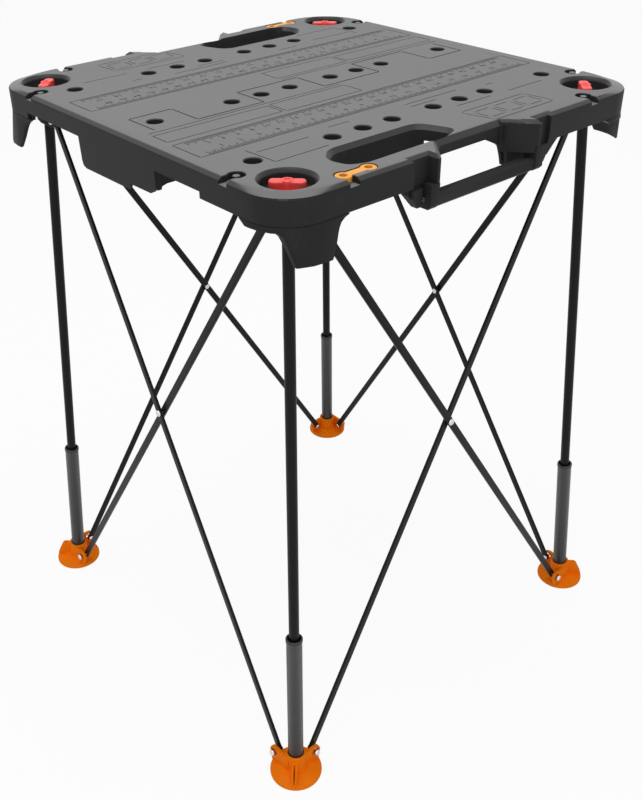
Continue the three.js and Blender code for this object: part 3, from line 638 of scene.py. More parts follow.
def groove_tree():
    """A straight cutter on each edge, a little short of its ends."""
    tree, given, taken = node_tree("Groove cutters", (
        ("Width", "NodeSocketFloat"), ("Depth", "NodeSocketFloat"), ("Material", "NodeSocketMaterial")))
    if given is None:
        return tree
    ends = tree.nodes.new("GeometryNodeInputMeshEdgeVertices")
    run = tree.nodes.new("ShaderNodeVectorMath")
    run.operation = "SUBTRACT"
    tree.links.new(ends.outputs["Position 2"], run.inputs[0])
    tree.links.new(ends.outputs["Position 1"], run.inputs[1])
    keep = tree.nodes.new("GeometryNodeStoreNamedAttribute")
    keep.data_type = "FLOAT_VECTOR"
    keep.domain = "EDGE"
    keep.inputs["Name"].default_value = "run"
    tree.links.new(given.outputs["Geometry"], keep.inputs["Geometry"])
    tree.links.new(run.outputs[0], keep.inputs["Value"])
    middles = tree.nodes.new("GeometryNodeMeshToPoints")
    middles.mode = "EDGES"
    tree.links.new(keep.outputs[0], middles.inputs["Mesh"])
    read = tree.nodes.new("GeometryNodeInputNamedAttribute")
    read.data_type = "FLOAT_VECTOR"
    read.inputs["Name"].default_value = "run"
    turn = tree.nodes.new("FunctionNodeAlignRotationToVector")
    turn.axis = "X"
    tree.links.new(read.outputs["Attribute"], turn.inputs["Vector"])
    length = tree.nodes.new("ShaderNodeVectorMath")
    length.operation = "LENGTH"
    tree.links.new(read.outputs["Attribute"], length.inputs[0])
    short = math_node(tree, "MULTIPLY", given.outputs["Width"], 1.02)
    size = tree.nodes.new("ShaderNodeCombineXYZ")
    tree.links.new(math_node(tree, "SUBTRACT", length.outputs["Value"], short), size.inputs["X"])
    tree.links.new(given.outputs["Width"], size.inputs["Y"])
    tree.links.new(given.outputs["Depth"], size.inputs["Z"])
    cube = tree.nodes.new("GeometryNodeMeshCube")
    spread = tree.nodes.new("GeometryNodeInstanceOnPoints")
    tree.links.new(middles.outputs[0], spread.inputs["Points"])
    tree.links.new(cube.outputs["Mesh"], spread.inputs["Instance"])
    tree.links.new(turn.outputs[0], spread.inputs["Rotation"])
    tree.links.new(size.outputs[0], spread.inputs["Scale"])
    return end_tree(tree, spread.outputs[0], given, taken)


def pin_tree():
    """Turned pins: each chain of edges is an axis, and its points carry the girth."""
    tree, given, taken = node_tree("Turned pins", (
        ("Sides", "NodeSocketInt"), ("Material", "NodeSocketMaterial")))
    if given is None:
        return tree
    axis = tree.nodes.new("GeometryNodeMeshToCurve")
    section = tree.nodes.new("GeometryNodeCurvePrimitiveCircle")
    section.inputs["Radius"].default_value = 1.0
    read = tree.nodes.new("GeometryNodeInputNamedAttribute")
    read.inputs["Name"].default_value = "girth"
    sweep = tree.nodes.new("GeometryNodeCurveToMesh")
    sweep.inputs["Fill Caps"].default_value = True
    tree.links.new(given.outputs["Geometry"], axis.inputs["Mesh"])
    tree.links.new(given.outputs["Sides"], section.inputs["Resolution"])
    tree.links.new(axis.outputs[0], sweep.inputs["Curve"])
    tree.links.new(section.outputs[0], sweep.inputs["Profile Curve"])
    tree.links.new(read.outputs["Attribute"], sweep.inputs["Scale"])
    return end_tree(tree, sweep.outputs[0], given, taken)


def grow(piece, tree, values):
    """Runs a tree on a piece with its inputs set, and keeps the result as a plain mesh."""
    sockets = {item.name: item.identifier for item in tree.interface.items_tree if item.in_out == "INPUT"}
    step = piece.modifiers.new(tree.name, "NODES")
    step.node_group = tree
    for label, value in values.items():
        step[sockets[label]] = value
    return bake(piece)


def points_object(points):
    mesh = bpy.data.meshes.new("points")
    mesh.from_pydata(points, [], [])
    return add_object("points", mesh)


def lines_object(chains):
    vertices = []
    edges = []
    for chain in chains:
        first = len(vertices)
        vertices += chain
        edges += [(first + i, first + i + 1) for i in range(len(chain) - 1)]
    mesh = bpy.data.meshes.new("lines")
    mesh.from_pydata(vertices, edges, [])
    return add_object("lines", mesh)


def pins(chains, material, sides=24):
    """Turned pins from chains of (point, radius) stations."""
    piece = lines_object([[point for point, radius in chain] for chain in chains])
    girth = piece.data.attributes.new("girth", "FLOAT", "POINT")
    girth.data.foreach_set("value", [radius for chain in chains for point, radius in chain])
    return grow(piece, pin_tree(), {"Sides": sides, "Material": material})


# Shader groups and materials

def shader_group(name, inputs, outputs):
    tree = bpy.data.node_groups.new(name, "ShaderNodeTree")
    for label, kind in inputs:
        tree.interface.new_socket(label, in_out="INPUT", socket_type=kind)
    for label, kind in outputs:
        tree.interface.new_socket(label, in_out="OUTPUT", socket_type=kind)
    return tree, tree.nodes.new("NodeGroupInput"), tree.nodes.new("NodeGroupOutput")


def noise(tree, vector, scale, detail):
    node = tree.nodes.new("ShaderNodeTexNoise")
    node.inputs["Detail"].default_value = detail
    tree.links.new(vector, node.inputs["Vector"])
    if isinstance(scale, (int, float)):
        node.inputs["Scale"].default_value = scale
    else:
        tree.links.new(scale, node.inputs["Scale"])
    return node.outputs["Fac"]


def grain_group():
    """Moulded or sprayed skin: fine grain, and slow changes of tone and gloss."""
    name = "Skin grain"
    if name in bpy.data.node_groups:
        return bpy.data.node_groups[name]
    tree, given, taken = shader_group(name, (
        ("Vector", "NodeSocketVector"), ("Colour", "NodeSocketColor"), ("Grain Scale", "NodeSocketFloat"),
        ("Mottle", "NodeSocketFloat"), ("Roughness", "NodeSocketFloat"), ("Spread", "NodeSocketFloat"),
    ), (("Colour", "NodeSocketColor"), ("Roughness", "NodeSocketFloat"), ("Height", "NodeSocketFloat")))
    vector = given.outputs["Vector"]
    fine = noise(tree, vector, given.outputs["Grain Scale"], 2.0)
    slow = noise(tree, vector, 11.0, 4.0)
    swing = math_node(tree, "SUBTRACT", slow, 0.5)
    speck = math_node(tree, "SUBTRACT", fine, 0.5)
    both = math_node(tree, "ADD", swing, speck)
    tone = math_node(tree, "ADD", math_node(tree, "MULTIPLY", both, given.outputs["Mottle"]), 1.0)
    shade = tree.nodes.new("ShaderNodeVectorMath")
    shade.operation = "SCALE"
    tree.links.new(given.outputs["Colour"], shade.inputs[0])
    tree.links.new(tone, shade.inputs["Scale"])
    gloss = math_node(tree, "ADD", math_node(tree, "MULTIPLY", swing, given.outputs["Spread"]),
                      given.outputs["Roughness"])
    tree.links.new(shade.outputs[0], taken.inputs["Colour"])
    tree.links.new(gloss, taken.inputs["Roughness"])
    tree.links.new(fine, taken.inputs["Height"])
    return tree


def rub_group():
    """Fine pale rub marks in one direction, in patches."""
    name = "Rub marks"
    if name in bpy.data.node_groups:
        return bpy.data.node_groups[name]
    tree, given, taken = shader_group(name, (
        ("Vector", "NodeSocketVector"), ("Colour", "NodeSocketColor"), ("Rub Colour", "NodeSocketColor"),
        ("Stretch", "NodeSocketVector"), ("Amount", "NodeSocketFloat"),
    ), (("Colour", "NodeSocketColor"), ("Mask", "NodeSocketFloat")))
    drawn = tree.nodes.new("ShaderNodeVectorMath")
    drawn.operation = "MULTIPLY"
    tree.links.new(given.outputs["Vector"], drawn.inputs[0])
    tree.links.new(given.outputs["Stretch"], drawn.inputs[1])
    streak = noise(tree, drawn.outputs[0], 1.0, 3.0)
    patch = noise(tree, given.outputs["Vector"], 7.0, 2.0)
    edge = tree.nodes.new("ShaderNodeMapRange")
    edge.inputs["From Min"].default_value = 0.58
    edge.inputs["From Max"].default_value = 0.74
    tree.links.new(streak, edge.inputs["Value"])
    where = tree.nodes.new("ShaderNodeMapRange")
    where.inputs["From Min"].default_value = 0.42
    where.inputs["From Max"].default_value = 0.62
    tree.links.new(patch, where.inputs["Value"])
    mask = math_node(tree, "MULTIPLY", edge.outputs[0], where.outputs[0])
    mask = math_node(tree, "MULTIPLY", mask, given.outputs["Amount"])
    mix = tree.nodes.new("ShaderNodeMix")
    mix.data_type = "RGBA"
    tree.links.new(mask, mix.inputs["Factor"])
    tree.links.new(given.outputs["Colour"], mix.inputs[6])
    tree.links.new(given.outputs["Rub Colour"], mix.inputs[7])
    tree.links.new(mix.outputs[2], taken.inputs["Colour"])
    tree.links.new(mask, taken.inputs["Mask"])
    return tree


def finish_material(name, colour, roughness, spread, mottle, grain_scale, grain_depth, metallic=0.0, coat=0.0,
                    rub=0.0, stretch=(90.0, 900.0, 90.0), specular=0.5):
    """Grained finish with rub marks: the surface of every moulded, coated or plated piece."""
    material = bpy.data.materials.get(name)
    if material is not None:
        return material
    material = bpy.data.materials.new(name)
    material.use_nodes = True
    material.diffuse_color = (*colour, 1.0)
    tree = material.node_tree
    shader = tree.nodes["Principled BSDF"]
    shader.inputs["Metallic"].default_value = metallic
    shader.inputs["Specular IOR Level"].default_value = specular
    shader.inputs["Coat Weight"].default_value = coat
    shader.inputs["Coat Roughness"].default_value = 0.35
    place = tree.nodes.new("ShaderNodeTexCoord")
    skin = tree.nodes.new("ShaderNodeGroup")
    skin.node_tree = grain_group()
    skin.inputs["Colour"].default_value = (*colour, 1.0)
    skin.inputs["Grain Scale"].default_value = grain_scale
    skin.inputs["Mottle"].default_value = mottle
    skin.inputs["Roughness"].default_value = roughness
    skin.inputs["Spread"].default_value = spread
    marks = tree.nodes.new("ShaderNodeGroup")
    marks.node_tree = rub_group()
    pale = [0.55 * value + 0.16 for value in colour]
    marks.inputs["Rub Colour"].default_value = (*pale, 1.0)
    marks.inputs["Stretch"].default_value = stretch
    marks.inputs["Amount"].default_value = rub
    bump = tree.nodes.new("ShaderNodeBump")
    bump.inputs["Strength"].default_value = 0.6
    bump.inputs["Distance"].default_value = grain_depth
    tree.links.new(place.outputs["Object"], skin.inputs["Vector"])
    tree.links.new(place.outputs["Object"], marks.inputs["Vector"])
    tree.links.new(skin.outputs["Colour"], marks.inputs["Colour"])
    tree.links.new(marks.outputs["Colour"], shader.inputs["Base Color"])
    tree.links.new(skin.outputs["Roughness"], shader.inputs["Roughness"])
    tree.links.new(skin.outputs["Height"], bump.inputs["Height"])
    tree.links.new(bump.outputs["Normal"], shader.inputs["Normal"])
    return material


def colours():
    return bpy.context.scene.workbench_colours


# Grained upper face: real grain, in a colour lightened by painted light from above; the same plastic as the moulded
# sides
def deck_painted_light_finish():
    return finish_material("grained_deck", colours().deck, 0.62, 0.16, 0.22, 900.0, 0.00025, rub=0.10,
                           stretch=(25.0, 500.0, 25.0), specular=0.2)


def moulding_finish():
    return finish_material("moulded_grey", colours().moulding, 0.52, 0.16, 0.25, 1100.0, 0.0002, rub=0.05,
                           specular=0.12)


def rim_painted_light_finish():
    """Smooth chamfer finish with painted light: a shade between the lit deck and the dark sides, and painted sheen that
    turns it paler toward the deck's colour where the chamfers flatten out at the corners.
    """
    material = bpy.data.materials.get("smooth_rim")
    if material is not None:
        return material
    material = finish_material("smooth_rim", colours().rim, 0.34, 0.10, 0.12, 1100.0, 0.00006, specular=0.2)
    tree = material.node_tree
    shader = tree.nodes["Principled BSDF"]
    dark = shader.inputs["Base Color"].links[0].from_socket
    # Painted sheen: the colour moves toward the deck's lit colour as the surface normal turns upward, on flat corners,
    # ledges and peg tops
    surface = tree.nodes.new("ShaderNodeNewGeometry")
    upward = tree.nodes.new("ShaderNodeSeparateXYZ")
    flat = tree.nodes.new("ShaderNodeMapRange")
    flat.inputs["From Min"].default_value = 0.88
    flat.inputs["From Max"].default_value = 0.97
    flat.inputs["To Max"].default_value = 0.75
    pale = tree.nodes.new("ShaderNodeMix")
    pale.data_type = "RGBA"
    pale.inputs["B"].default_value = (*colours().deck, 1.0)
    tree.links.new(surface.outputs["Normal"], upward.inputs[0])
    tree.links.new(upward.outputs["Z"], flat.inputs["Value"])
    tree.links.new(flat.outputs["Result"], pale.inputs["Factor"])
    tree.links.new(dark, pale.inputs["A"])
    tree.links.new(pale.outputs["Result"], shader.inputs["Base Color"])
    return material


def groove_finish():
    return finish_material("groove_shade", [0.35 * value for value in colours().moulding], 0.7, 0.1, 0.2,
                           900.0, 0.0001, specular=0.1)


def dark_finish():
    return finish_material("moulded_dark", colours().dark, 0.50, 0.16, 0.25, 1100.0, 0.0002, rub=0.05,
                           specular=0.10)


def knob_finish():
    return finish_material("red_moulding", colours().knob, 0.36, 0.14, 0.10, 1200.0, 0.0001)


def orange_finish():
    return finish_material("orange_moulding", colours().orange, 0.44, 0.14, 0.12, 1000.0, 0.00015, rub=0.04,
                           specular=0.06)


def link_finish():
    return finish_material("pale_orange", colours().link, 0.42, 0.14, 0.10, 1000.0, 0.0001, specular=0.2)


def tube_finish():
    return finish_material("black_coat", colours().tube, 0.36, 0.14, 0.20, 1600.0, 0.0001, rub=0.05, specular=0.14)


def sleeve_finish():
    return finish_material("satin_coat", colours().sleeve, 0.32, 0.14, 0.18, 1600.0, 0.0001, rub=0.06, specular=0.40)


def steel_finish():
    return finish_material("plated_steel", colours().steel, 0.30, 0.18, 0.12, 1400.0, 0.00008, metallic=1.0)


# Table top

def deck_shell(settings):
    """Loft of the rim with its chamfer, hollow below."""
    deep = settings.chamfer_down
    wide = settings.chamfer_in
    soft = 0.0008
    lower = 0.0003

    def rim(inset):
        return deck_outline(inset, CORNER_RADIUS + (TOP_CORNER_RADIUS - CORNER_RADIUS) * inset / wide)

    shell = loft([
        (deck_outline(lower), SKIRT_BOTTOM),
        (deck_outline(0.0), SKIRT_BOTTOM + lower),
        (deck_outline(0.0), TOP - deep - soft),
        (rim(soft * 0.45), TOP - deep + soft),
        (rim(wide - soft * 0.7), TOP - soft * 0.8),
        (rim(wide + soft), TOP),
    ])
    hollow = prism(deck_outline(SKIRT_WALL), SKIRT_BOTTOM - 0.005, UNDERSIDE)
    return carve(shell, [hollow])


def handle_trims():
    """What is cut away below the lip of a handle recess and along the side skirt."""
    deep = SLOT_BOTTOM - 0.009
    back = -RECESS_FACE + 0.008
    front = -HALF - 0.015
    trims = [block((-RECESS_HALF, front, deep), (RECESS_HALF, back, RECESS_BOTTOM))]
    for side in (-1, 1):
        outline = [(WEDGE_OUT, front), (NOTCH_IN, front), (NOTCH_IN, back), (WEDGE_OUT, back)]
        trims.append(prism(flipped(outline, side), deep, EAR_BOTTOM))
    lip = [(-RECESS_FACE + 0.005, TOP + 0.0002), (-RECESS_FACE - 0.0005, TOP - RECESS_CHAMFER),
           (-RECESS_FACE - 0.005, TOP - RECESS_CHAMFER), (-RECESS_FACE - 0.005, TOP + 0.0002)]
    trims.append(along_x(lip, -RECESS_HALF + 0.0002, RECESS_HALF - 0.0002))
    low, high = SIDE_SKIRT_RUN
    trims.append(block((-HALF - 0.005, -high, deep), (-HALF + 0.012, -low, SIDE_SKIRT_BOTTOM)))
    return trims


def apron():
    """Deep apron of the side skirt, with a step in its lower edge and a gusset behind one end."""
    outline = [(-0.075, 0.786), (-0.075, 0.757), (-0.070, 0.751), (-0.064, 0.748), (-0.024, 0.7475),
               (-0.021, 0.7405), (0.072, 0.740), (0.078, 0.7425), (0.080, 0.748), (0.082, 0.776), (0.082, 0.786)]
    gusset = [(-0.2825, 0.784), (-0.2825, 0.7535), (-0.278, 0.7535), (-0.2765, 0.757), (-0.270, 0.7585),
              (-0.226, 0.7585), (-0.226, UNDERSIDE + 0.001), (-0.2825, UNDERSIDE + 0.001)]
    plate = along_x(outline, -HALF, -HALF + SKIRT_WALL)
    return carve(plate, [along_y(gusset, -0.0755, -0.0725)], "UNION")


def handle_walls(settings):
    """Ears, wedges, back walls and rod bosses at both ends of a handle recess, and the web at one end."""
    walls = []
    run = (EAR_TIP_X - RECESS_HALF) / (EAR_TIP_Y - RECESS_FACE)
    ear_root = NOTCH_FACE - settings.chamfer_in - 0.001
    root = NOTCH_FACE - 0.003
    lip = RECESS_FACE + 0.0005
    high = UNDERSIDE + 0.001
    shift = settings.chamfer_in * math.hypot(1.0, run)
    ridge_x = NOTCH_IN - EAR_CHAMFER
    ridge_y = EAR_TIP_Y - (EAR_TIP_X + shift - ridge_x) / run
    inside = -BACK_WALL + 0.004
    below = BOSS_BOTTOM - 0.001

    def slant_x(y):
        return EAR_TIP_X - (EAR_TIP_Y - y) * run

    def boss(side, outside, top, near, far):
        foot = BOSS_IN + 0.0075
        outline = [(BOSS_IN, BOSS_BOTTOM), (foot, BOSS_BOTTOM), (outside, BOSS_BOTTOM + 1.75 * (outside - foot)),
                   (outside, top), (BOSS_IN, top)]
        reach = BOSS_OUT + 0.001
        heel = along_x([(-0.277, below), (-0.266, below), (-0.266, 0.763)], -reach, reach)
        return carve(along_y(flipped(outline, side), near, far), [heel])

    for side in (-1, 1):
        ear = [(NOTCH_IN, -ear_root), (NOTCH_IN, -EAR_TIP_Y), (EAR_TIP_X, -EAR_TIP_Y), (slant_x(ear_root), -ear_root)]
        ear_top = [(ridge_x, -ear_root), (ridge_x, -ridge_y), (ridge_x - 0.0002, -ridge_y + 0.0002 / run),
                   (slant_x(ear_root) + shift, -ear_root)]
        walls.append(loft([(flipped(ear, side), EAR_BOTTOM), (flipped(ear, side), TOP - settings.chamfer_down),
                           (flipped(ear_top, side), TOP)]))
        wedge = [(slant_x(lip), -lip), (slant_x(root), -root), (WEDGE_OUT, -EAR_TIP_Y + 0.0018), (WEDGE_OUT, -root),
                 (slant_x(root) + 0.005, -root), (slant_x(lip) + 0.005, -lip)]
        walls.append(prism(flipped(wedge, side), WEDGE_BOTTOM, EAR_BOTTOM + 0.001))
        back = [(RECESS_HALF + 0.001, -BACK_WALL), (BOSS_IN + 0.001, -BACK_WALL), (BOSS_IN + 0.001, inside),
                (RECESS_HALF + 0.005, inside), (RECESS_HALF + 0.005, -RECESS_FACE + 0.004),
                (RECESS_HALF + 0.001, -RECESS_FACE + 0.004)]
        slope = [(RECESS_HALF, below), (RECESS_HALF + 0.009, below), (RECESS_HALF + 0.0015, 0.777), (RECESS_HALF, 0.777)]
        slope_cutter = along_y(flipped(slope, side), -BACK_WALL - 0.001, -RECESS_FACE + 0.005)
        walls.append(carve(prism(flipped(back, side), BOSS_BOTTOM, high), [slope_cutter]))
        walls.append(boss(side, BOSS_OUT, high, -NOTCH_FACE, -BACK_WALL + 0.001))
        walls.append(boss(side, NOTCH_OUT, BOSS_TOP, -HALF, -NOTCH_FACE + 0.001))
    corner = [(0.066, RECESS_BOTTOM + 0.0015), (0.030, RECESS_BOTTOM + 0.0015), (0.0305, 0.7812), (0.0425, 0.7755),
              (0.049, 0.7722), (0.0525, 0.769), (0.057, 0.758), (0.0605, 0.7462), (0.066, 0.7462)]
    walls.append(along_y(corner, -RECESS_FACE + 0.0005, -RECESS_FACE + 0.004))
    drop = SKIRT_BOTTOM + 0.002
    brow = [(0.126, drop), (0.126, SKIRT_BOTTOM), (0.118, 0.7615)]
    web = brow + [(BOSS_IN + 0.007, BOSS_BOTTOM), (BOSS_IN + 0.005, BOSS_BOTTOM), (BOSS_IN + 0.005, drop)]
    walls.append(along_y(web, -NOTCH_FACE - 0.001, -NOTCH_FACE + 0.003))
    tail = brow + [(NOTCH_OUT - 0.001, 0.7527), (NOTCH_OUT - 0.001, drop)]
    walls.append(along_y(tail, -HALF, -NOTCH_FACE + 0.002))
    return walls


def key_pads():
    """Thick pads under the keyhole pockets and the stored link."""
    pads = []
    near = -HALF + 0.001
    far = -KEY_EDGE + 0.013
    for side in (-1, 1):
        x = side * KEY_ALONG
        pads.append(block((x - KEY_PAD_HALF, near, KEY_PAD_BOTTOM), (x + KEY_PAD_HALF, far, UNDERSIDE + 0.001)))
        y = side * SIDE_KEY_ALONG
        pads.append(block((near, y - KEY_PAD_HALF, KEY_PAD_BOTTOM), (far, y + KEY_PAD_HALF, UNDERSIDE + 0.001)))
    end = -KEY_ALONG + LINK_SPAN
    pads.append(block((end - 0.020, near, KEY_PAD_BOTTOM), (end + 0.013, far, UNDERSIDE + 0.001)))
    return pads


def keyhole(place, peg=True):
    """Cutter of a keyhole pocket open to the edge, leaving its peg."""
    soft = 0.0007
    above = TOP + 0.003
    pocket = turned([(0.0, KEY_FLOOR), (KEY_RADIUS, KEY_FLOOR), (KEY_RADIUS, TOP - soft),
                     (KEY_RADIUS + soft, TOP), (KEY_RADIUS + soft, above), (0.0, above)], 36)
    half = KEY_CHANNEL / 2.0
    reach = HALF - KEY_EDGE + 0.003
    channel = [(-half, KEY_FLOOR), (half, KEY_FLOOR), (half, TOP - soft), (half + soft, TOP),
               (half + soft, above), (-half - soft, above), (-half - soft, TOP), (-half, TOP - soft)]
    carve(pocket, [along_y(channel, -reach, 0.0)], "UNION")
    if peg:
        post = turned([(0.0, KEY_FLOOR - 0.001), (PEG_RADIUS, KEY_FLOOR - 0.001), (PEG_RADIUS, TOP - 0.0014),
                       (PEG_RADIUS - 0.0006, TOP - 0.0008), (0.0, TOP - 0.0008)], 24)
        carve(pocket, [post])
    pocket.data.transform(place)
    return pocket


def link_bay():
    """Cutter of the pocket that holds the far end of the link."""
    x = -KEY_ALONG
    far = x + LINK_SPAN
    above = TOP + 0.003
    bay = prism(circle(far, -KEY_EDGE, KEY_RADIUS, 36), KEY_FLOOR, above)
    waist = block((x, -KEY_EDGE - 0.006, KEY_FLOOR), (far, -KEY_EDGE + 0.006, above))
    carve(bay, [waist], "UNION")
    keep = prism(circle(x, -KEY_EDGE, KEY_RADIUS - 0.0002, 36), KEY_FLOOR - 0.001, above + 0.002)
    return carve(bay, [keep])


def keyholes():
    cutters = []
    for side in (-1, 1):
        stored = side < 0
        cutters.append(keyhole(Matrix.Translation((side * KEY_ALONG, -KEY_EDGE, 0.0)), not stored))
        turn = Matrix.Rotation(-math.pi / 2.0, 4, "Z")
        cutters.append(keyhole(Matrix.Translation((-KEY_EDGE, side * SIDE_KEY_ALONG, 0.0)) @ turn))
    cutters.append(link_bay())
    return cutters


def well_cutters():
    cutters = []
    soft = 0.0008
    for sx in (1, -1):
        place = Matrix.Translation((sx * KNOB_PLACE, KNOB_PLACE, 0.0))
        cutters.append(turned([
            (0.0, WELL_FLOOR), (WELL_RADIUS - 0.002, WELL_FLOOR), (WELL_RADIUS - 0.0006, WELL_FLOOR + 0.0006),
            (WELL_RADIUS, WELL_FLOOR + 0.002), (WELL_RADIUS, TOP - 0.005 - soft),
            (WELL_RADIUS + soft * 0.4, TOP - 0.005 + soft), (WELL_RIM_RADIUS - soft * 0.3, TOP - soft),
            (WELL_RIM_RADIUS + soft, TOP), (WELL_RIM_RADIUS + soft, TOP + 0.003), (0.0, TOP + 0.003),
        ], 72, place))
        cutters.append(turned([(0.0, WELL_BOTTOM - 0.003), (SHAFT_HOLE, WELL_BOTTOM - 0.003), (SHAFT_HOLE, TOP),
                               (0.0, TOP)], 32, place))
    return cutters


def slot_wall():
    """Wall round a clamp slot, short in front, beside the handle gap."""
    wall = prism(grown(filleted(SLOT_OUTLINE, 0.012), SLOT_WALL), SLOT_BOTTOM, UNDERSIDE + 0.001)
    return carve(wall, [block((-HALF, -HALF, SLOT_BOTTOM - 0.001), (HALF, SLOT_FRONT, RECESS_BOTTOM))])


def slot_cutter():
    """Cutter of a clamp slot, with a sloping rim on all but its front side."""
    outline = filleted(SLOT_OUTLINE, 0.012)
    rim = []
    for (x, y), (wide_x, wide_y) in zip(outline, grown(outline, SLOT_RIM)):
        share = 0.2 + 0.8 * min(1.0, max(0.0, (y + 0.256) / 0.010))
        rim.append((x + share * (wide_x - x), y + share * (wide_y - y)))
    return loft([(outline, SLOT_BOTTOM - 0.005), (outline, TOP - SLOT_RIM), (rim, TOP), (rim, TOP + 0.005)])


def rod_bores():
    bores = []
    for side in (-1, 1):
        low, high = sorted((side * (BOSS_IN - 0.002), side * (ROD_HALF + 0.001)))
        bores.append(along_x(circle(PIVOT_Y, PIVOT_Z, ROD_RADIUS + 0.0003, 24), low, high))
    return bores


def dog_points():
    return [(x, y, 0.0) for x in DOG_X for y in DOG_Y]


def dog_cutters(chamfer):
    """All the bench-dog holes, each a bore with a chamfered mouth; the cut faces take the deck finish, painted light
    inside the holes.
    """
    low = DOG_BOSS_BOTTOM - 0.005
    cutter = turned([(0.0, low), (DOG_RADIUS, low), (DOG_RADIUS, TOP - chamfer), (DOG_RADIUS + chamfer, TOP),
                     (DOG_RADIUS + chamfer, TOP + 0.004), (0.0, TOP + 0.004)], 40)
    # The bores and their mouths carry the deck finish: painted light inside the holes, where shade falls
    holes = grow(points_object(dog_points()), dog_hole_tree(), {"Cutter": cutter, "Material": deck_painted_light_finish()})
    remove_object(cutter)
    return holes


def dog_bosses():
    boss = turned([(0.0, DOG_BOSS_BOTTOM), (DOG_BOSS_RADIUS, DOG_BOSS_BOTTOM),
                   (DOG_BOSS_RADIUS, UNDERSIDE + 0.001), (0.0, UNDERSIDE + 0.001)], 32)
    bosses = grow(points_object(dog_points()), dog_hole_tree(), {"Cutter": boss, "Material": moulding_finish()})
    remove_object(boss)
    return bosses


def ribs():
    walls = []
    half = RIB_WALL / 2.0
    inside = HALF - SKIRT_WALL + 0.001
    for x in RIB_X:
        walls.append(block((x - half, -RIB_HALF, RIB_BOTTOM), (x + half, RIB_HALF, UNDERSIDE + 0.001)))
    for y in RIB_Y:
        walls.append(block((-inside, y - half, RIB_BOTTOM), (inside, y + half, UNDERSIDE + 0.001)))
    return walls


def groove_lines():
    """Chains of points of the engraved lines on the front half of the table top."""
    left, right = -RULER_X, RULER_X
    low, high = RULER_Y
    chains = [
        [(left, low), (right, low), (right, high), (left, high), (left, low)],
        [(-0.262, -0.033), (0.020, -0.033)],
        [(-0.262, -0.070), (-0.262, -0.042), (-0.103, -0.042), (-0.103, -0.070), (-0.262, -0.070)],
        [(-0.098, -0.072), (-0.098, -0.040), (0.020, -0.040), (0.020, -0.072), (-0.098, -0.072)],
        [(-0.218, -0.146), (-0.216, -0.194), (-0.143, -0.1935)],
        [(0.054, -0.1935), (0.114, -0.1935)],
        [(0.144, -0.1935), (0.209, -0.1935)],
        [(-0.213, -0.159), (-0.141, -0.159)],
        [(0.014, -0.159), (0.057, -0.159)],
        [(0.144, -0.159), (0.158, -0.159)],
        [(-0.105, -0.149), (-0.073, -0.149)],
        [(0.015, -0.149), (0.102, -0.149)],
    ]
    return chains


def label_lines():
    """Bare panel with three rounded frames beside the handle recess."""
    def moved(outline, x, y):
        ring = [(px + x, py + y) for px, py in outline]
        return ring + ring[:1]

    panel = filleted([(0.038, -0.2125), (0.048, -0.256), (0.152, -0.256), (0.148, -0.2135)], 0.006, 3)
    chains = [panel + panel[:1]]
    small = rounded_box(0.0135, 0.0125, 0.003, 3)
    for x in (0.064, 0.097, 0.130):
        chains.append(moved(small, x, -0.2345))
    return chains


def zigzag_line():
    """Stepped line between the middle holes, from end box to end box."""
    steps = (-0.191, -0.095, 0.0, 0.094, 0.187)
    high, low = 0.0262, -0.0266
    chain = [(-0.249, low), (-0.249, high)]
    level = high
    for x in steps:
        chain.append((x, level))
        level = low if level == high else high
        chain.append((x, level))
    chain += [(0.249, level), (0.249, high)]
    return chain


def flat_chain(chain, z):
    return [(x, y, z) for x, y in chain]


def engraving(settings):
    """Cutters of the lines and ticks."""
    width, depth = settings.groove_width, settings.groove_depth
    shade = groove_finish()
    one_half = groove_lines() + label_lines()
    thin = one_half + [[(-x, -y) for x, y in chain] for chain in one_half]
    cutters = []
    for chains, broad in ((thin, width), ([zigzag_line()], settings.zigzag_width)):
        lines = lines_object([flat_chain(chain, TOP) for chain in chains])
        cutters.append(grow(lines, groove_tree(), {"Width": broad, "Depth": 2.0 * depth, "Material": shade}))
    start = -TICK_PITCH * (TICKS - 1) / 2.0
    gap = width
    for edge, side in ((RULER_Y[0] + gap, 1.0), (RULER_Y[1] - gap, -1.0)):
        row = grow(points_object([(0.0, 0.0, 0.0)]), tick_tree(), {
            "Count": TICKS, "Start": (start, edge, TOP), "Pitch": TICK_PITCH, "Short": 0.0060, "Long": 0.0100,
            "Every": 4, "Width": TICK_WIDTH, "Depth": 2.0 * depth, "Side": side, "Material": shade})
        cutters += [row, half_copy(row)]
    return cutters


def number_mesh(word, depth, place):
    """Closed mesh of a number, lying in the upper face."""
    text = bpy.data.curves.new("number", "FONT")
    text.body = word
    text.size = NUMBER_HEIGHT
    text.align_x = "CENTER"
    text.align_y = "CENTER"
    text.extrude = depth
    text.resolution_u = 1
    sign = bpy.data.objects.new("number", text)
    bpy.context.scene.collection.objects.link(sign)
    graph = bpy.context.evaluated_depsgraph_get()
    mesh = bpy.data.meshes.new_from_object(sign.evaluated_get(graph))
    bpy.data.objects.remove(sign)
    bpy.data.curves.remove(text)
    mesh.transform(Matrix.Translation(place))
    return mesh


def number_cutters(settings):
    """Engraved numbers of both scales of each ruler."""
    joined = bmesh.new()
    start = -TICK_PITCH * (TICKS - 1) / 2.0
    for pitch, step, count, y in SCALES:
        for i in range(1, count):
            mesh = number_mesh(str(i * step), settings.groove_depth, (start + i * pitch, y, TOP))
            joined.from_mesh(mesh)
            bpy.data.meshes.remove(mesh)
    bmesh.ops.remove_doubles(joined, verts=joined.verts, dist=1e-6)
    bmesh.ops.recalc_face_normals(joined, faces=joined.faces)
    numbers = bpy.data.meshes.new("numbers")
    joined.to_mesh(numbers)
    joined.free()
    numbers.materials.append(groove_finish())
    cutter = add_object("numbers", numbers)
    return [cutter, half_copy(cutter)]


def with_halves(pieces):
    return pieces + [half_copy(piece) for piece in pieces]


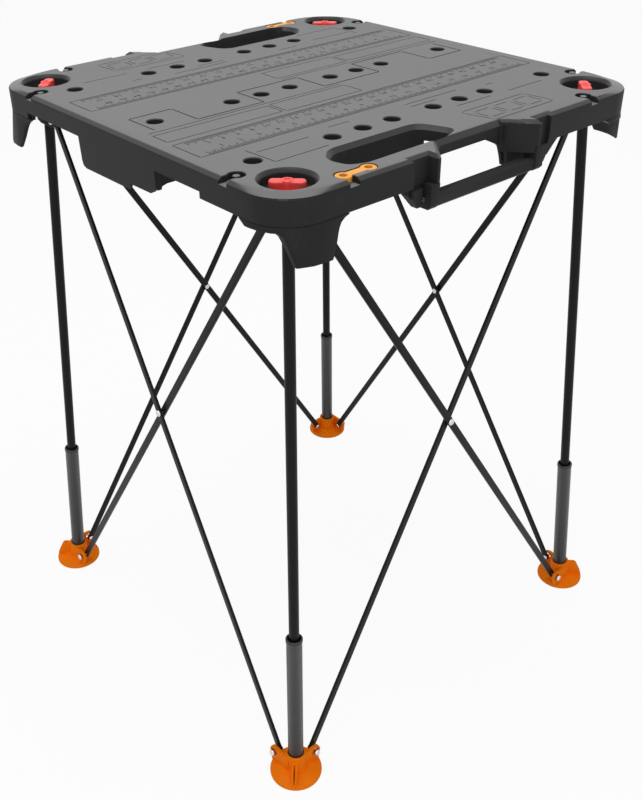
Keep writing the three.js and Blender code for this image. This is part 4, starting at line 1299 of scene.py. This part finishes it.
def paint_deck(piece):
    """Grained upper face, pocket floors and dog-hole bores, all with painted light from above; smooth chamfers with
    painted part light and painted sheen; plain moulding and shaded engraving.
    """
    finishes = (moulding_finish(), deck_painted_light_finish(), rim_painted_light_finish(), groove_finish())
    materials = piece.data.materials
    names = [material.name if material else "" for material in materials]
    old = [names[face.material_index] if names else "" for face in piece.data.polygons]
    materials.clear()
    for material in finishes:
        materials.append(material)
    for face, name in zip(piece.data.polygons, old):
        height = face.center.z - TOP
        slope = face.normal.z
        if name == "groove_shade":
            face.material_index = 3
        # Faces cut by the dog-hole cutters keep the deck finish: painted light in the bores
        elif name == "grained_deck":
            face.material_index = 1
        # Upward faces at the top and on the key pocket floors: lit copy of the moulding, painted light from above
        elif slope > 0.9 and (height > -0.0003 or abs(height - KEY_FLOOR + TOP) < 0.0003):
            face.material_index = 1
        # Chamfers and shallow ledges near the top: painted part light and painted sheen
        elif slope > 0.55 and height > (-0.0045 if slope > 0.99 else -0.0065):
            face.material_index = 2
        else:
            face.material_index = 0


class WORKBENCH_OT_table_top(Operator):
    """Moulded top with its wells, slots, holes, ribs and engraved scales"""

    bl_idname = "workbench.table_top"
    bl_label = "Table top"

    def execute(self, context):
        settings = context.scene.workbench_top
        top = deck_shell(settings)
        carve(top, with_halves(handle_trims()))
        wells = []
        for sx in (1, -1):
            outline = circle(sx * KNOB_PLACE, KNOB_PLACE, WELL_RADIUS + WELL_WALL, 48)
            wells.append(prism(outline, WELL_BOTTOM, UNDERSIDE + 0.001))
        carve(top, with_halves([slot_wall(), apron()] + wells + key_pads() + handle_walls(settings)), "UNION")
        carve(top, ribs() + [dog_bosses()], "UNION")
        carve(top, with_halves([slot_cutter()] + well_cutters() + keyholes() + rod_bores()))
        carve(top, [dog_cutters(settings.hole_chamfer)])
        carve(top, engraving(settings) + number_cutters(settings))
        paint_deck(top)
        smooth(top, 28.0)
        finish_piece(top, "moulded_top", None, "top", ["table_top"])
        return {"FINISHED"}


class WORKBENCH_OT_corner_sockets(Operator):
    """Shrouds under the four corners"""

    bl_idname = "workbench.corner_sockets"
    bl_label = "Corner sockets"

    def execute(self, context):
        edge = context.scene.workbench_frame.moulding_edge
        for corner in CORNERS:
            node = f"corner_socket_{corner}"
            piece = smooth(bevel(cad_copy(node), edge * 0.4))
            finish_piece(piece, f"socket_shroud_{corner}", dark_finish(), "top", [node])
        return {"FINISHED"}


class WORKBENCH_OT_lock_knobs(Operator):
    """Red twist knobs with their shafts and lugs"""

    bl_idname = "workbench.lock_knobs"
    bl_label = "Lock knobs"

    def execute(self, context):
        low = WELL_FLOOR + 0.0004
        bar_top = KNOB_TOP - 0.0010
        bar = bevel(prism(rounded_box(KNOB_HALF_LENGTH, KNOB_HALF_WIDTH, 0.0052), low + 0.001, bar_top), 0.0016, 3)
        cap = turned([(0.0, low), (KNOB_BASE_RADIUS, low), (KNOB_BASE_RADIUS, low + 0.0016),
                      (KNOB_BASE_RADIUS - 0.0008, low + 0.0022), (KNOB_CAP_RADIUS, low + 0.004),
                      (KNOB_CAP_RADIUS, KNOB_TOP - 0.0012), (KNOB_CAP_RADIUS - 0.0004, KNOB_TOP - 0.0004),
                      (KNOB_CAP_RADIUS - 0.0012, KNOB_TOP), (0.0036, KNOB_TOP), (0.0031, KNOB_TOP - 0.0018),
                      (0.0, KNOB_TOP - 0.0020)], 48)
        shaft = prism(circle(0.0, 0.0, SHAFT_RADIUS, 32), LUG_BOTTOM + 0.001, low + 0.001)
        lug = bevel(prism(capsule((-LUG_HALF_LENGTH, 0.0), (LUG_HALF_LENGTH, 0.0), LUG_HALF_WIDTH), LUG_BOTTOM,
                          LUG_TOP), 0.0005)
        knob = carve(bar, [cap, shaft, lug], "UNION")
        knob.data.transform(Matrix.Translation((KNOB_PLACE, KNOB_PLACE, 0.0)) @ Matrix.Rotation(-math.pi / 4, 4, "Z"))
        smooth(knob)
        for turns, corner in enumerate(CORNERS):
            node = f"lock_knob_{corner}"
            finish_piece(quarter_copy(knob, turns), f"twist_knob_{corner}", knob_finish(), node, [node])
        remove_object(knob)
        return {"FINISHED"}


class WORKBENCH_OT_hubs(Operator):
    """Heads of the legs in their sockets"""

    bl_idname = "workbench.hubs"
    bl_label = "Hubs"

    def execute(self, context):
        edge = context.scene.workbench_frame.moulding_edge
        for corner in CORNERS:
            node = f"hub_{corner}"
            piece = smooth(bevel(cad_copy(node), edge * 0.6, 2, 40.0), 40.0)
            finish_piece(piece, f"leg_head_{corner}", dark_finish(), f"upper_leg_{corner}", [node])
        return {"FINISHED"}


class WORKBENCH_OT_legs(Operator):
    """Upper tubes and lower sleeves"""

    bl_idname = "workbench.legs"
    bl_label = "Legs"

    def execute(self, context):
        sides = context.scene.workbench_frame.segments
        soft = 0.0003
        low, high = TUBE_ENDS
        tube = turned([(TUBE_BORE, low), (TUBE_RADIUS - soft, low), (TUBE_RADIUS, low + soft),
                       (TUBE_RADIUS, high - soft), (TUBE_RADIUS - soft, high), (TUBE_BORE, high)], sides, leg_frame())
        low, high = SLEEVE_ENDS
        lip = high - SLEEVE_LIP
        sleeve = turned([(SLEEVE_BORE, low), (SLEEVE_RADIUS - soft, low), (SLEEVE_RADIUS, low + soft),
                         (SLEEVE_RADIUS, lip), (SLEEVE_LIP_RADIUS - soft, lip + 0.0006),
                         (SLEEVE_LIP_RADIUS, lip + 0.0012), (SLEEVE_LIP_RADIUS, high - 0.0010),
                         (SLEEVE_LIP_RADIUS - 0.0004, high - 0.0003), (SLEEVE_LIP_RADIUS - 0.0009, high),
                         (SLEEVE_BORE, high)], sides, leg_frame())
        smooth(tube)
        smooth(sleeve)
        for turns, corner in enumerate(CORNERS):
            finish_piece(quarter_copy(tube, turns), f"upper_tube_{corner}", tube_finish(), f"upper_leg_{corner}",
                         [f"leg_tube_{corner}"])
            finish_piece(quarter_copy(sleeve, turns), f"lower_sleeve_{corner}", sleeve_finish(),
                         f"lower_leg_{corner}", [f"leg_sleeve_{corner}"])
        remove_object(tube)
        remove_object(sleeve)
        return {"FINISHED"}


def foot_ear(u):
    """Outline of a foot ear in side coordinates, standing on the base."""
    side = math.copysign(1.0, u)
    v = FOOT_PIVOT_Z * STRETCH
    start = -0.35
    outline = [(-0.028, 0.003), (0.004, 0.003)]
    outline += [(x, v + y) for x, y in arc(0.0, 0.0, FOOT_EAR_RADIUS, start, math.pi / 2.0 - start, 14)]
    outline.append((-0.028, v + FOOT_EAR_RADIUS))
    return [(u - side * x, y) for x, y in outline]


def foot_solid(edge):
    """Front foot: round base, sleeve boss, outward fin and two brace ears."""
    centre = Matrix.Translation((-HALF, -HALF, 0.0))
    base = turned([(0.0, 0.0), (FOOT_RADIUS - 0.0008, 0.0), (FOOT_RADIUS, 0.0008), (FOOT_RADIUS, 0.0034),
                   (FOOT_RADIUS - 0.0008, 0.0046), (FOOT_RADIUS - 0.0024, 0.0054), (0.024, 0.0068), (0.018, 0.009),
                   (0.0, 0.009)], 72, centre)
    boss = turned([(0.0, 0.004), (FOOT_BOSS_RADIUS + 0.0025, 0.004), (FOOT_BOSS_RADIUS + 0.0006, 0.010),
                   (FOOT_BOSS_RADIUS, 0.014), (FOOT_BOSS_RADIUS, FOOT_BOSS_TOP - 0.001),
                   (FOOT_BOSS_RADIUS - 0.0004, FOOT_BOSS_TOP - 0.0003), (FOOT_BOSS_RADIUS - 0.001, FOOT_BOSS_TOP),
                   (0.0, FOOT_BOSS_TOP)], 48, leg_frame())
    out = Vector((-1.0, -1.0, 0.0)).normalized()
    across = Vector((-1.0, 1.0, 0.0)).normalized()
    turn = Matrix((out, Vector((0.0, 0.0, 1.0)), across)).transposed().to_4x4()
    fin_outline = filleted([(0.009, 0.003), (0.0335, 0.003), (0.033, 0.010), (0.023, FIN_TOP), (0.009, FIN_TOP)], 0.004)
    fin = prism(fin_outline, -FIN_HALF, FIN_HALF, centre @ turn)
    split = [(0.0165, 0.0085), (0.040, 0.0085), (0.040, 0.050), (0.0165, 0.050)]
    carve(fin, [prism(split, -FIN_SPLIT, FIN_SPLIT, centre @ turn)])
    bevel(fin, edge * 0.5)
    inner = bevel(prism(foot_ear(-FOOT_PIVOT_U), -FOOT_INNER_EAR[1], -FOOT_INNER_EAR[0], side_frame()), edge * 0.7)
    outer = bevel(prism(foot_ear(FOOT_PIVOT_U), -FOOT_OUTER_EAR[1], -FOOT_OUTER_EAR[0], side_frame(-1)), edge * 0.7)
    carve(base, [boss, fin, inner, outer], "UNION")
    bore = prism(circle(0.0, 0.0, SLEEVE_RADIUS + 0.0008, 48), SLEEVE_ENDS[0] - 0.0005, 0.060, leg_frame())
    holes = [prism(circle(u, FOOT_PIVOT_Z * STRETCH, FOOT_EAR_HOLE, 28), -0.04, 0.04, side_frame(turns))
             for u, turns in ((-FOOT_PIVOT_U, 0), (FOOT_PIVOT_U, -1))]
    return carve(base, [bore] + holes)


class WORKBENCH_OT_feet(Operator):
    """Orange moulded feet"""

    bl_idname = "workbench.feet"
    bl_label = "Feet"

    def execute(self, context):
        foot = smooth(foot_solid(context.scene.workbench_frame.moulding_edge))
        for turns, corner in enumerate(CORNERS):
            finish_piece(quarter_copy(foot, turns), f"moulded_foot_{corner}", orange_finish(),
                         f"lower_leg_{corner}", [f"foot_{corner}"])
        remove_object(foot)
        return {"FINISHED"}


def brace_solid(hub_side, depths, cross_hole, edge):
    """Flat bar from a hub pivot to the opposite foot pivot, with its three holes."""
    top = (hub_side * HUB_PIVOT_U, HUB_PIVOT_Z * STRETCH)
    bottom = (-hub_side * FOOT_PIVOT_U, FOOT_PIVOT_Z * STRETCH)
    near, far = depths
    bar = bevel(prism(capsule(top, bottom, BRACE_HALF_WIDTH), -far, -near, side_frame()), edge)
    holes = []
    for place, radius in ((top, BRACE_HOLE), ((0.0, CROSS_Z * STRETCH), cross_hole), (bottom, BRACE_HOLE)):
        holes.append(prism(circle(*place, radius, 24), -far - 0.01, -near + 0.01, side_frame()))
    return smooth(carve(bar, holes))


class WORKBENCH_OT_braces(Operator):
    """Crossed flat bars of the four sides"""

    bl_idname = "workbench.braces"
    bl_label = "Braces"

    def execute(self, context):
        edge = context.scene.workbench_frame.brace_edge
        for layer, hub_side, depths, hole in (("outer", -1, OUTER_BRACE, BRACE_HOLE),
                                              ("inner", 1, INNER_BRACE, CROSS_SLACK_HOLE)):
            bar = brace_solid(hub_side, depths, hole, edge)
            for turns, side in enumerate(SIDES):
                node = f"{layer}_brace_{side}"
                finish_piece(quarter_copy(bar, turns), f"{layer}_bar_{side}", tube_finish(), node, [node])
            remove_object(bar)
        return {"FINISHED"}


def rivet_stations(u, z, outer, inner, turns, radius=RIVET_RADIUS):
    """Stations of a rivet across a side: domed head outside, flat tail inside."""
    high = -outer + 0.0003
    low = -inner - 0.0003
    step = 0.00002
    stations = [(low - 0.0016, RIVET_TAIL * 0.55), (low - 0.0013, RIVET_TAIL * 0.85), (low - 0.0008, RIVET_TAIL),
                (low - step, RIVET_TAIL), (low, radius), (high, radius), (high + step, RIVET_HEAD)]
    dome = 5
    for i in range(1, dome):
        angle = math.pi / 2.0 * i / dome
        stations.append((high + 0.0024 * math.sin(angle), RIVET_HEAD * math.cos(angle) ** 0.7))
    stations.append((high + 0.0024, RIVET_HEAD * 0.12))
    place = side_frame(turns)
    return [(place @ Vector((u, z * STRETCH, w)), girth) for w, girth in stations]


class WORKBENCH_OT_rivets(Operator):
    """Plated rivets at the hubs, crossings and feet"""

    bl_idname = "workbench.rivets"
    bl_label = "Rivets"

    def execute(self, context):
        steel = steel_finish()
        for turns, side in enumerate(SIDES):
            before = SIDES[turns - 1]
            corner = CORNERS[turns]
            heads = pins([
                rivet_stations(-HUB_PIVOT_U, HUB_PIVOT_Z, HUB_OUTER_EAR, OUTER_BRACE[1], turns),
                rivet_stations(HUB_PIVOT_U, HUB_PIVOT_Z, HUB_INNER_EAR, INNER_BRACE[1], turns - 1),
            ], steel)
            finish_piece(smooth(heads), f"head_rivets_{corner}", steel, f"upper_leg_{corner}",
                         [f"outer_hub_rivet_{side}", f"inner_hub_rivet_{before}"])
            outer = pins([
                rivet_stations(0.0, CROSS_Z, OUTER_BRACE[0], INNER_BRACE[1], turns, RIVET_RADIUS - 0.0002),
                rivet_stations(FOOT_PIVOT_U, FOOT_PIVOT_Z, FOOT_OUTER_EAR[0] - FOOT_HEAD_STANDOFF, OUTER_BRACE[1], turns),
            ], steel)
            finish_piece(smooth(outer), f"outer_bar_rivets_{side}", steel, f"outer_brace_{side}",
                         [f"cross_rivet_{side}", f"outer_foot_rivet_{side}"])
            inner = pins([
                rivet_stations(-FOOT_PIVOT_U, FOOT_PIVOT_Z, FOOT_INNER_EAR[0] - FOOT_HEAD_STANDOFF, INNER_BRACE[1], turns),
            ], steel)
            finish_piece(smooth(inner), f"inner_bar_rivet_{side}", steel, f"inner_brace_{side}",
                         [f"inner_foot_rivet_{side}"])
        return {"FINISHED"}


class WORKBENCH_OT_handles(Operator):
    """Carry handles and the rods they turn on"""

    bl_idname = "workbench.handles"
    bl_label = "Handles"

    def execute(self, context):
        step = 0.00002
        end = COLLAR_FROM + COLLAR_LENGTH
        half = [(COLLAR_FROM, ROD_RADIUS), (COLLAR_FROM + step, COLLAR_RADIUS), (end, COLLAR_RADIUS),
                (end + step, ROD_RADIUS), (ROD_HALF - 0.0005, ROD_RADIUS), (ROD_HALF, ROD_RADIUS - 0.0005)]
        stations = [(-x, radius) for x, radius in half[::-1]] + half
        for i, side in enumerate(HANDLE_SIDES):
            node = f"carry_handle_{side}"
            grip = smooth(bevel(cad_copy(node), 0.0016, 3, 25.0), 40.0)
            finish_piece(grip, f"handle_grip_{side}", dark_finish(), node, [node])
            place = Matrix.Rotation(i * math.pi, 4, "Z")
            rod = pins([[(place @ Vector((x, PIVOT_Y, PIVOT_Z)), radius) for x, radius in stations]], steel_finish())
            finish_piece(smooth(rod), f"hinge_rod_{side}", steel_finish(), "top", [f"handle_rod_{side}"])
        return {"FINISHED"}


def link_outline():
    """Outline of a link: two round ends and a drawn-in waist."""
    a = (-KEY_ALONG, -KEY_EDGE)
    b = (-KEY_ALONG + LINK_SPAN, -KEY_EDGE)
    lean = math.asin(LINK_HALF_WAIST / LINK_END_RADIUS)
    sweep = 2.0 * (math.pi - lean)
    return (arc(*b, LINK_END_RADIUS, lean - math.pi, sweep, 28)
            + arc(*a, LINK_END_RADIUS, lean, sweep, 28))


class WORKBENCH_OT_links(Operator):
    """Orange links stored in the edge"""

    bl_idname = "workbench.links"
    bl_label = "Links"

    def execute(self, context):
        low = KEY_FLOOR + 0.0004
        body = bevel(prism(link_outline(), low, LINK_TOP), 0.0007, 2, 50.0)
        holes = [prism(circle(x, -KEY_EDGE, LINK_HOLE, 28), low - 0.003, TOP + 0.003)
                 for x in (-KEY_ALONG, -KEY_ALONG + LINK_SPAN)]
        smooth(carve(body, holes))
        for i, side in enumerate(HANDLE_SIDES):
            node = f"link_{side}"
            finish_piece(quarter_copy(body, 2 * i), f"joining_link_{side}", link_finish(), node, [node])
        remove_object(body)
        return {"FINISHED"}


# Studio

def white_sight(tree):
    """Value that is 1 where a ray comes from the camera, a mirror or glass."""
    path = tree.nodes.new("ShaderNodeLightPath")
    seen = tree.nodes.new("ShaderNodeMath")
    seen.operation = "MAXIMUM"
    tree.links.new(path.outputs["Is Camera Ray"], seen.inputs[0])
    tree.links.new(path.outputs["Is Glossy Ray"], seen.inputs[1])
    also = tree.nodes.new("ShaderNodeMath")
    also.operation = "MAXIMUM"
    tree.links.new(seen.outputs[0], also.inputs[0])
    tree.links.new(path.outputs["Is Transmission Ray"], also.inputs[1])
    return also.outputs[0]


def floor_material():
    material = bpy.data.materials.new("pale_floor")
    material.use_nodes = True
    tree = material.node_tree
    tree.nodes.clear()
    matte = tree.nodes.new("ShaderNodeBsdfDiffuse")
    matte.inputs["Color"].default_value = (0.92, 0.92, 0.92, 1.0)
    glow = tree.nodes.new("ShaderNodeEmission")
    mix = tree.nodes.new("ShaderNodeMixShader")
    out = tree.nodes.new("ShaderNodeOutputMaterial")
    share = tree.nodes.new("ShaderNodeMath")
    share.operation = "MULTIPLY"
    share.inputs[1].default_value = 0.93
    tree.links.new(white_sight(tree), share.inputs[0])
    tree.links.new(share.outputs[0], mix.inputs["Fac"])
    tree.links.new(matte.outputs[0], mix.inputs[1])
    tree.links.new(glow.outputs[0], mix.inputs[2])
    tree.links.new(mix.outputs[0], out.inputs["Surface"])
    return material


def studio_sky(strength):
    world = bpy.data.worlds.new("studio_sky")
    world.use_nodes = True
    tree = world.node_tree
    sky = tree.nodes["Background"]
    sky.inputs["Color"].default_value = (1.0, 1.0, 1.0, 1.0)
    amount = tree.nodes.new("ShaderNodeMapRange")
    amount.inputs["To Min"].default_value = strength
    amount.inputs["To Max"].default_value = 1.0
    tree.links.new(white_sight(tree), amount.inputs["Value"])
    tree.links.new(amount.outputs[0], sky.inputs["Strength"])
    return world


def add_lamp(name, place, target, size, power):
    lamp = bpy.data.lights.new(name, "AREA")
    lamp.shape = "SQUARE"
    lamp.size = size
    lamp.energy = power
    holder = bpy.data.objects.new(name, lamp)
    bpy.context.scene.collection.objects.link(holder)
    holder.location = place
    aim = Vector(target) - Vector(place)
    holder.rotation_euler = aim.to_track_quat("-Z", "Y").to_euler()


def add_camera():
    """Camera of the picture: its place, turn, lens and shift."""
    back = Vector((math.sin(AZIMUTH) * math.cos(ELEVATION), -math.cos(AZIMUTH) * math.cos(ELEVATION),
                   math.sin(ELEVATION)))
    right = Vector((0.0, 0.0, 1.0)).cross(back).normalized()
    up = back.cross(right)
    turned_right = math.cos(ROLL) * right + math.sin(ROLL) * up
    turned_up = math.cos(ROLL) * up - math.sin(ROLL) * right
    turn = Matrix((turned_right, turned_up, back)).transposed().to_4x4()
    lens = bpy.data.cameras.new("camera")
    long_side = max(IMAGE)
    lens.sensor_fit = "AUTO"
    lens.sensor_width = SENSOR
    lens.lens = FOCAL_PIXELS * SENSOR / long_side
    lens.shift_x = (IMAGE[0] / 2.0 - OPTICAL_AXIS[0]) / long_side
    lens.shift_y = (OPTICAL_AXIS[1] - IMAGE[1] / 2.0) / long_side
    camera = bpy.data.objects.new("camera", lens)
    bpy.context.scene.collection.objects.link(camera)
    camera.matrix_world = Matrix.Translation(CAMERA_PLACE) @ turn
    bpy.context.scene.camera = camera


class WORKBENCH_OT_studio(Operator):
    """Pale floor, soft lamps and the camera"""

    bl_idname = "workbench.studio"
    bl_label = "Studio"

    def execute(self, context):
        settings = context.scene.workbench_studio
        context.scene.view_settings.view_transform = "Standard"
        context.scene.world = studio_sky(settings.sky)
        mesh = bpy.data.meshes.new("floor")
        reach = 12.0
        mesh.from_pydata([(-reach, -reach, 0.0), (reach, -reach, 0.0), (reach, reach, 0.0), (-reach, reach, 0.0)], [],
                         [(0, 1, 2, 3)])
        mesh.materials.append(floor_material())
        add_object("floor", mesh)
        add_lamp("key_lamp", (-0.3, 0.05, 2.9), (0.0, 0.0, 0.5), 2.2, settings.key)
        add_lamp("fill_lamp", (-1.6, -2.3, 1.3), (0.0, 0.0, 0.5), 1.6, settings.fill)
        add_camera()
        return {"FINISHED"}


OPERATORS = (
    WORKBENCH_OT_studio,
    WORKBENCH_OT_table_top,
    WORKBENCH_OT_corner_sockets,
    WORKBENCH_OT_lock_knobs,
    WORKBENCH_OT_hubs,
    WORKBENCH_OT_legs,
    WORKBENCH_OT_feet,
    WORKBENCH_OT_braces,
    WORKBENCH_OT_rivets,
    WORKBENCH_OT_handles,
    WORKBENCH_OT_links,
)


class WORKBENCH_PT_sidebar(Panel):
    """Pieces and settings of the workbench"""

    bl_idname = "WORKBENCH_PT_sidebar"
    bl_label = "Workbench"
    bl_space_type = "VIEW_3D"
    bl_region_type = "UI"
    bl_category = "Workbench"

    def draw(self, context):
        for operator in OPERATORS:
            self.layout.operator(operator.bl_idname)


SETTINGS = (
    ("workbench_top", WorkbenchTop),
    ("workbench_frame", WorkbenchFrame),
    ("workbench_colours", WorkbenchColours),
    ("workbench_studio", WorkbenchStudio),
)


def register():
    for name, group in SETTINGS:
        bpy.utils.register_class(group)
        setattr(bpy.types.Scene, name, PointerProperty(type=group))
    for operator in OPERATORS:
        bpy.utils.register_class(operator)
    bpy.utils.register_class(WORKBENCH_PT_sidebar)


def unregister():
    bpy.utils.unregister_class(WORKBENCH_PT_sidebar)
    for operator in reversed(OPERATORS):
        bpy.utils.unregister_class(operator)
    for name, group in reversed(SETTINGS):
        delattr(bpy.types.Scene, name)
        bpy.utils.unregister_class(group)


def main():
    register()
    for operator in OPERATORS:
        area, action = operator.bl_idname.split(".")
        getattr(getattr(bpy.ops, area), action)()


if __name__ == "__main__":
    main()
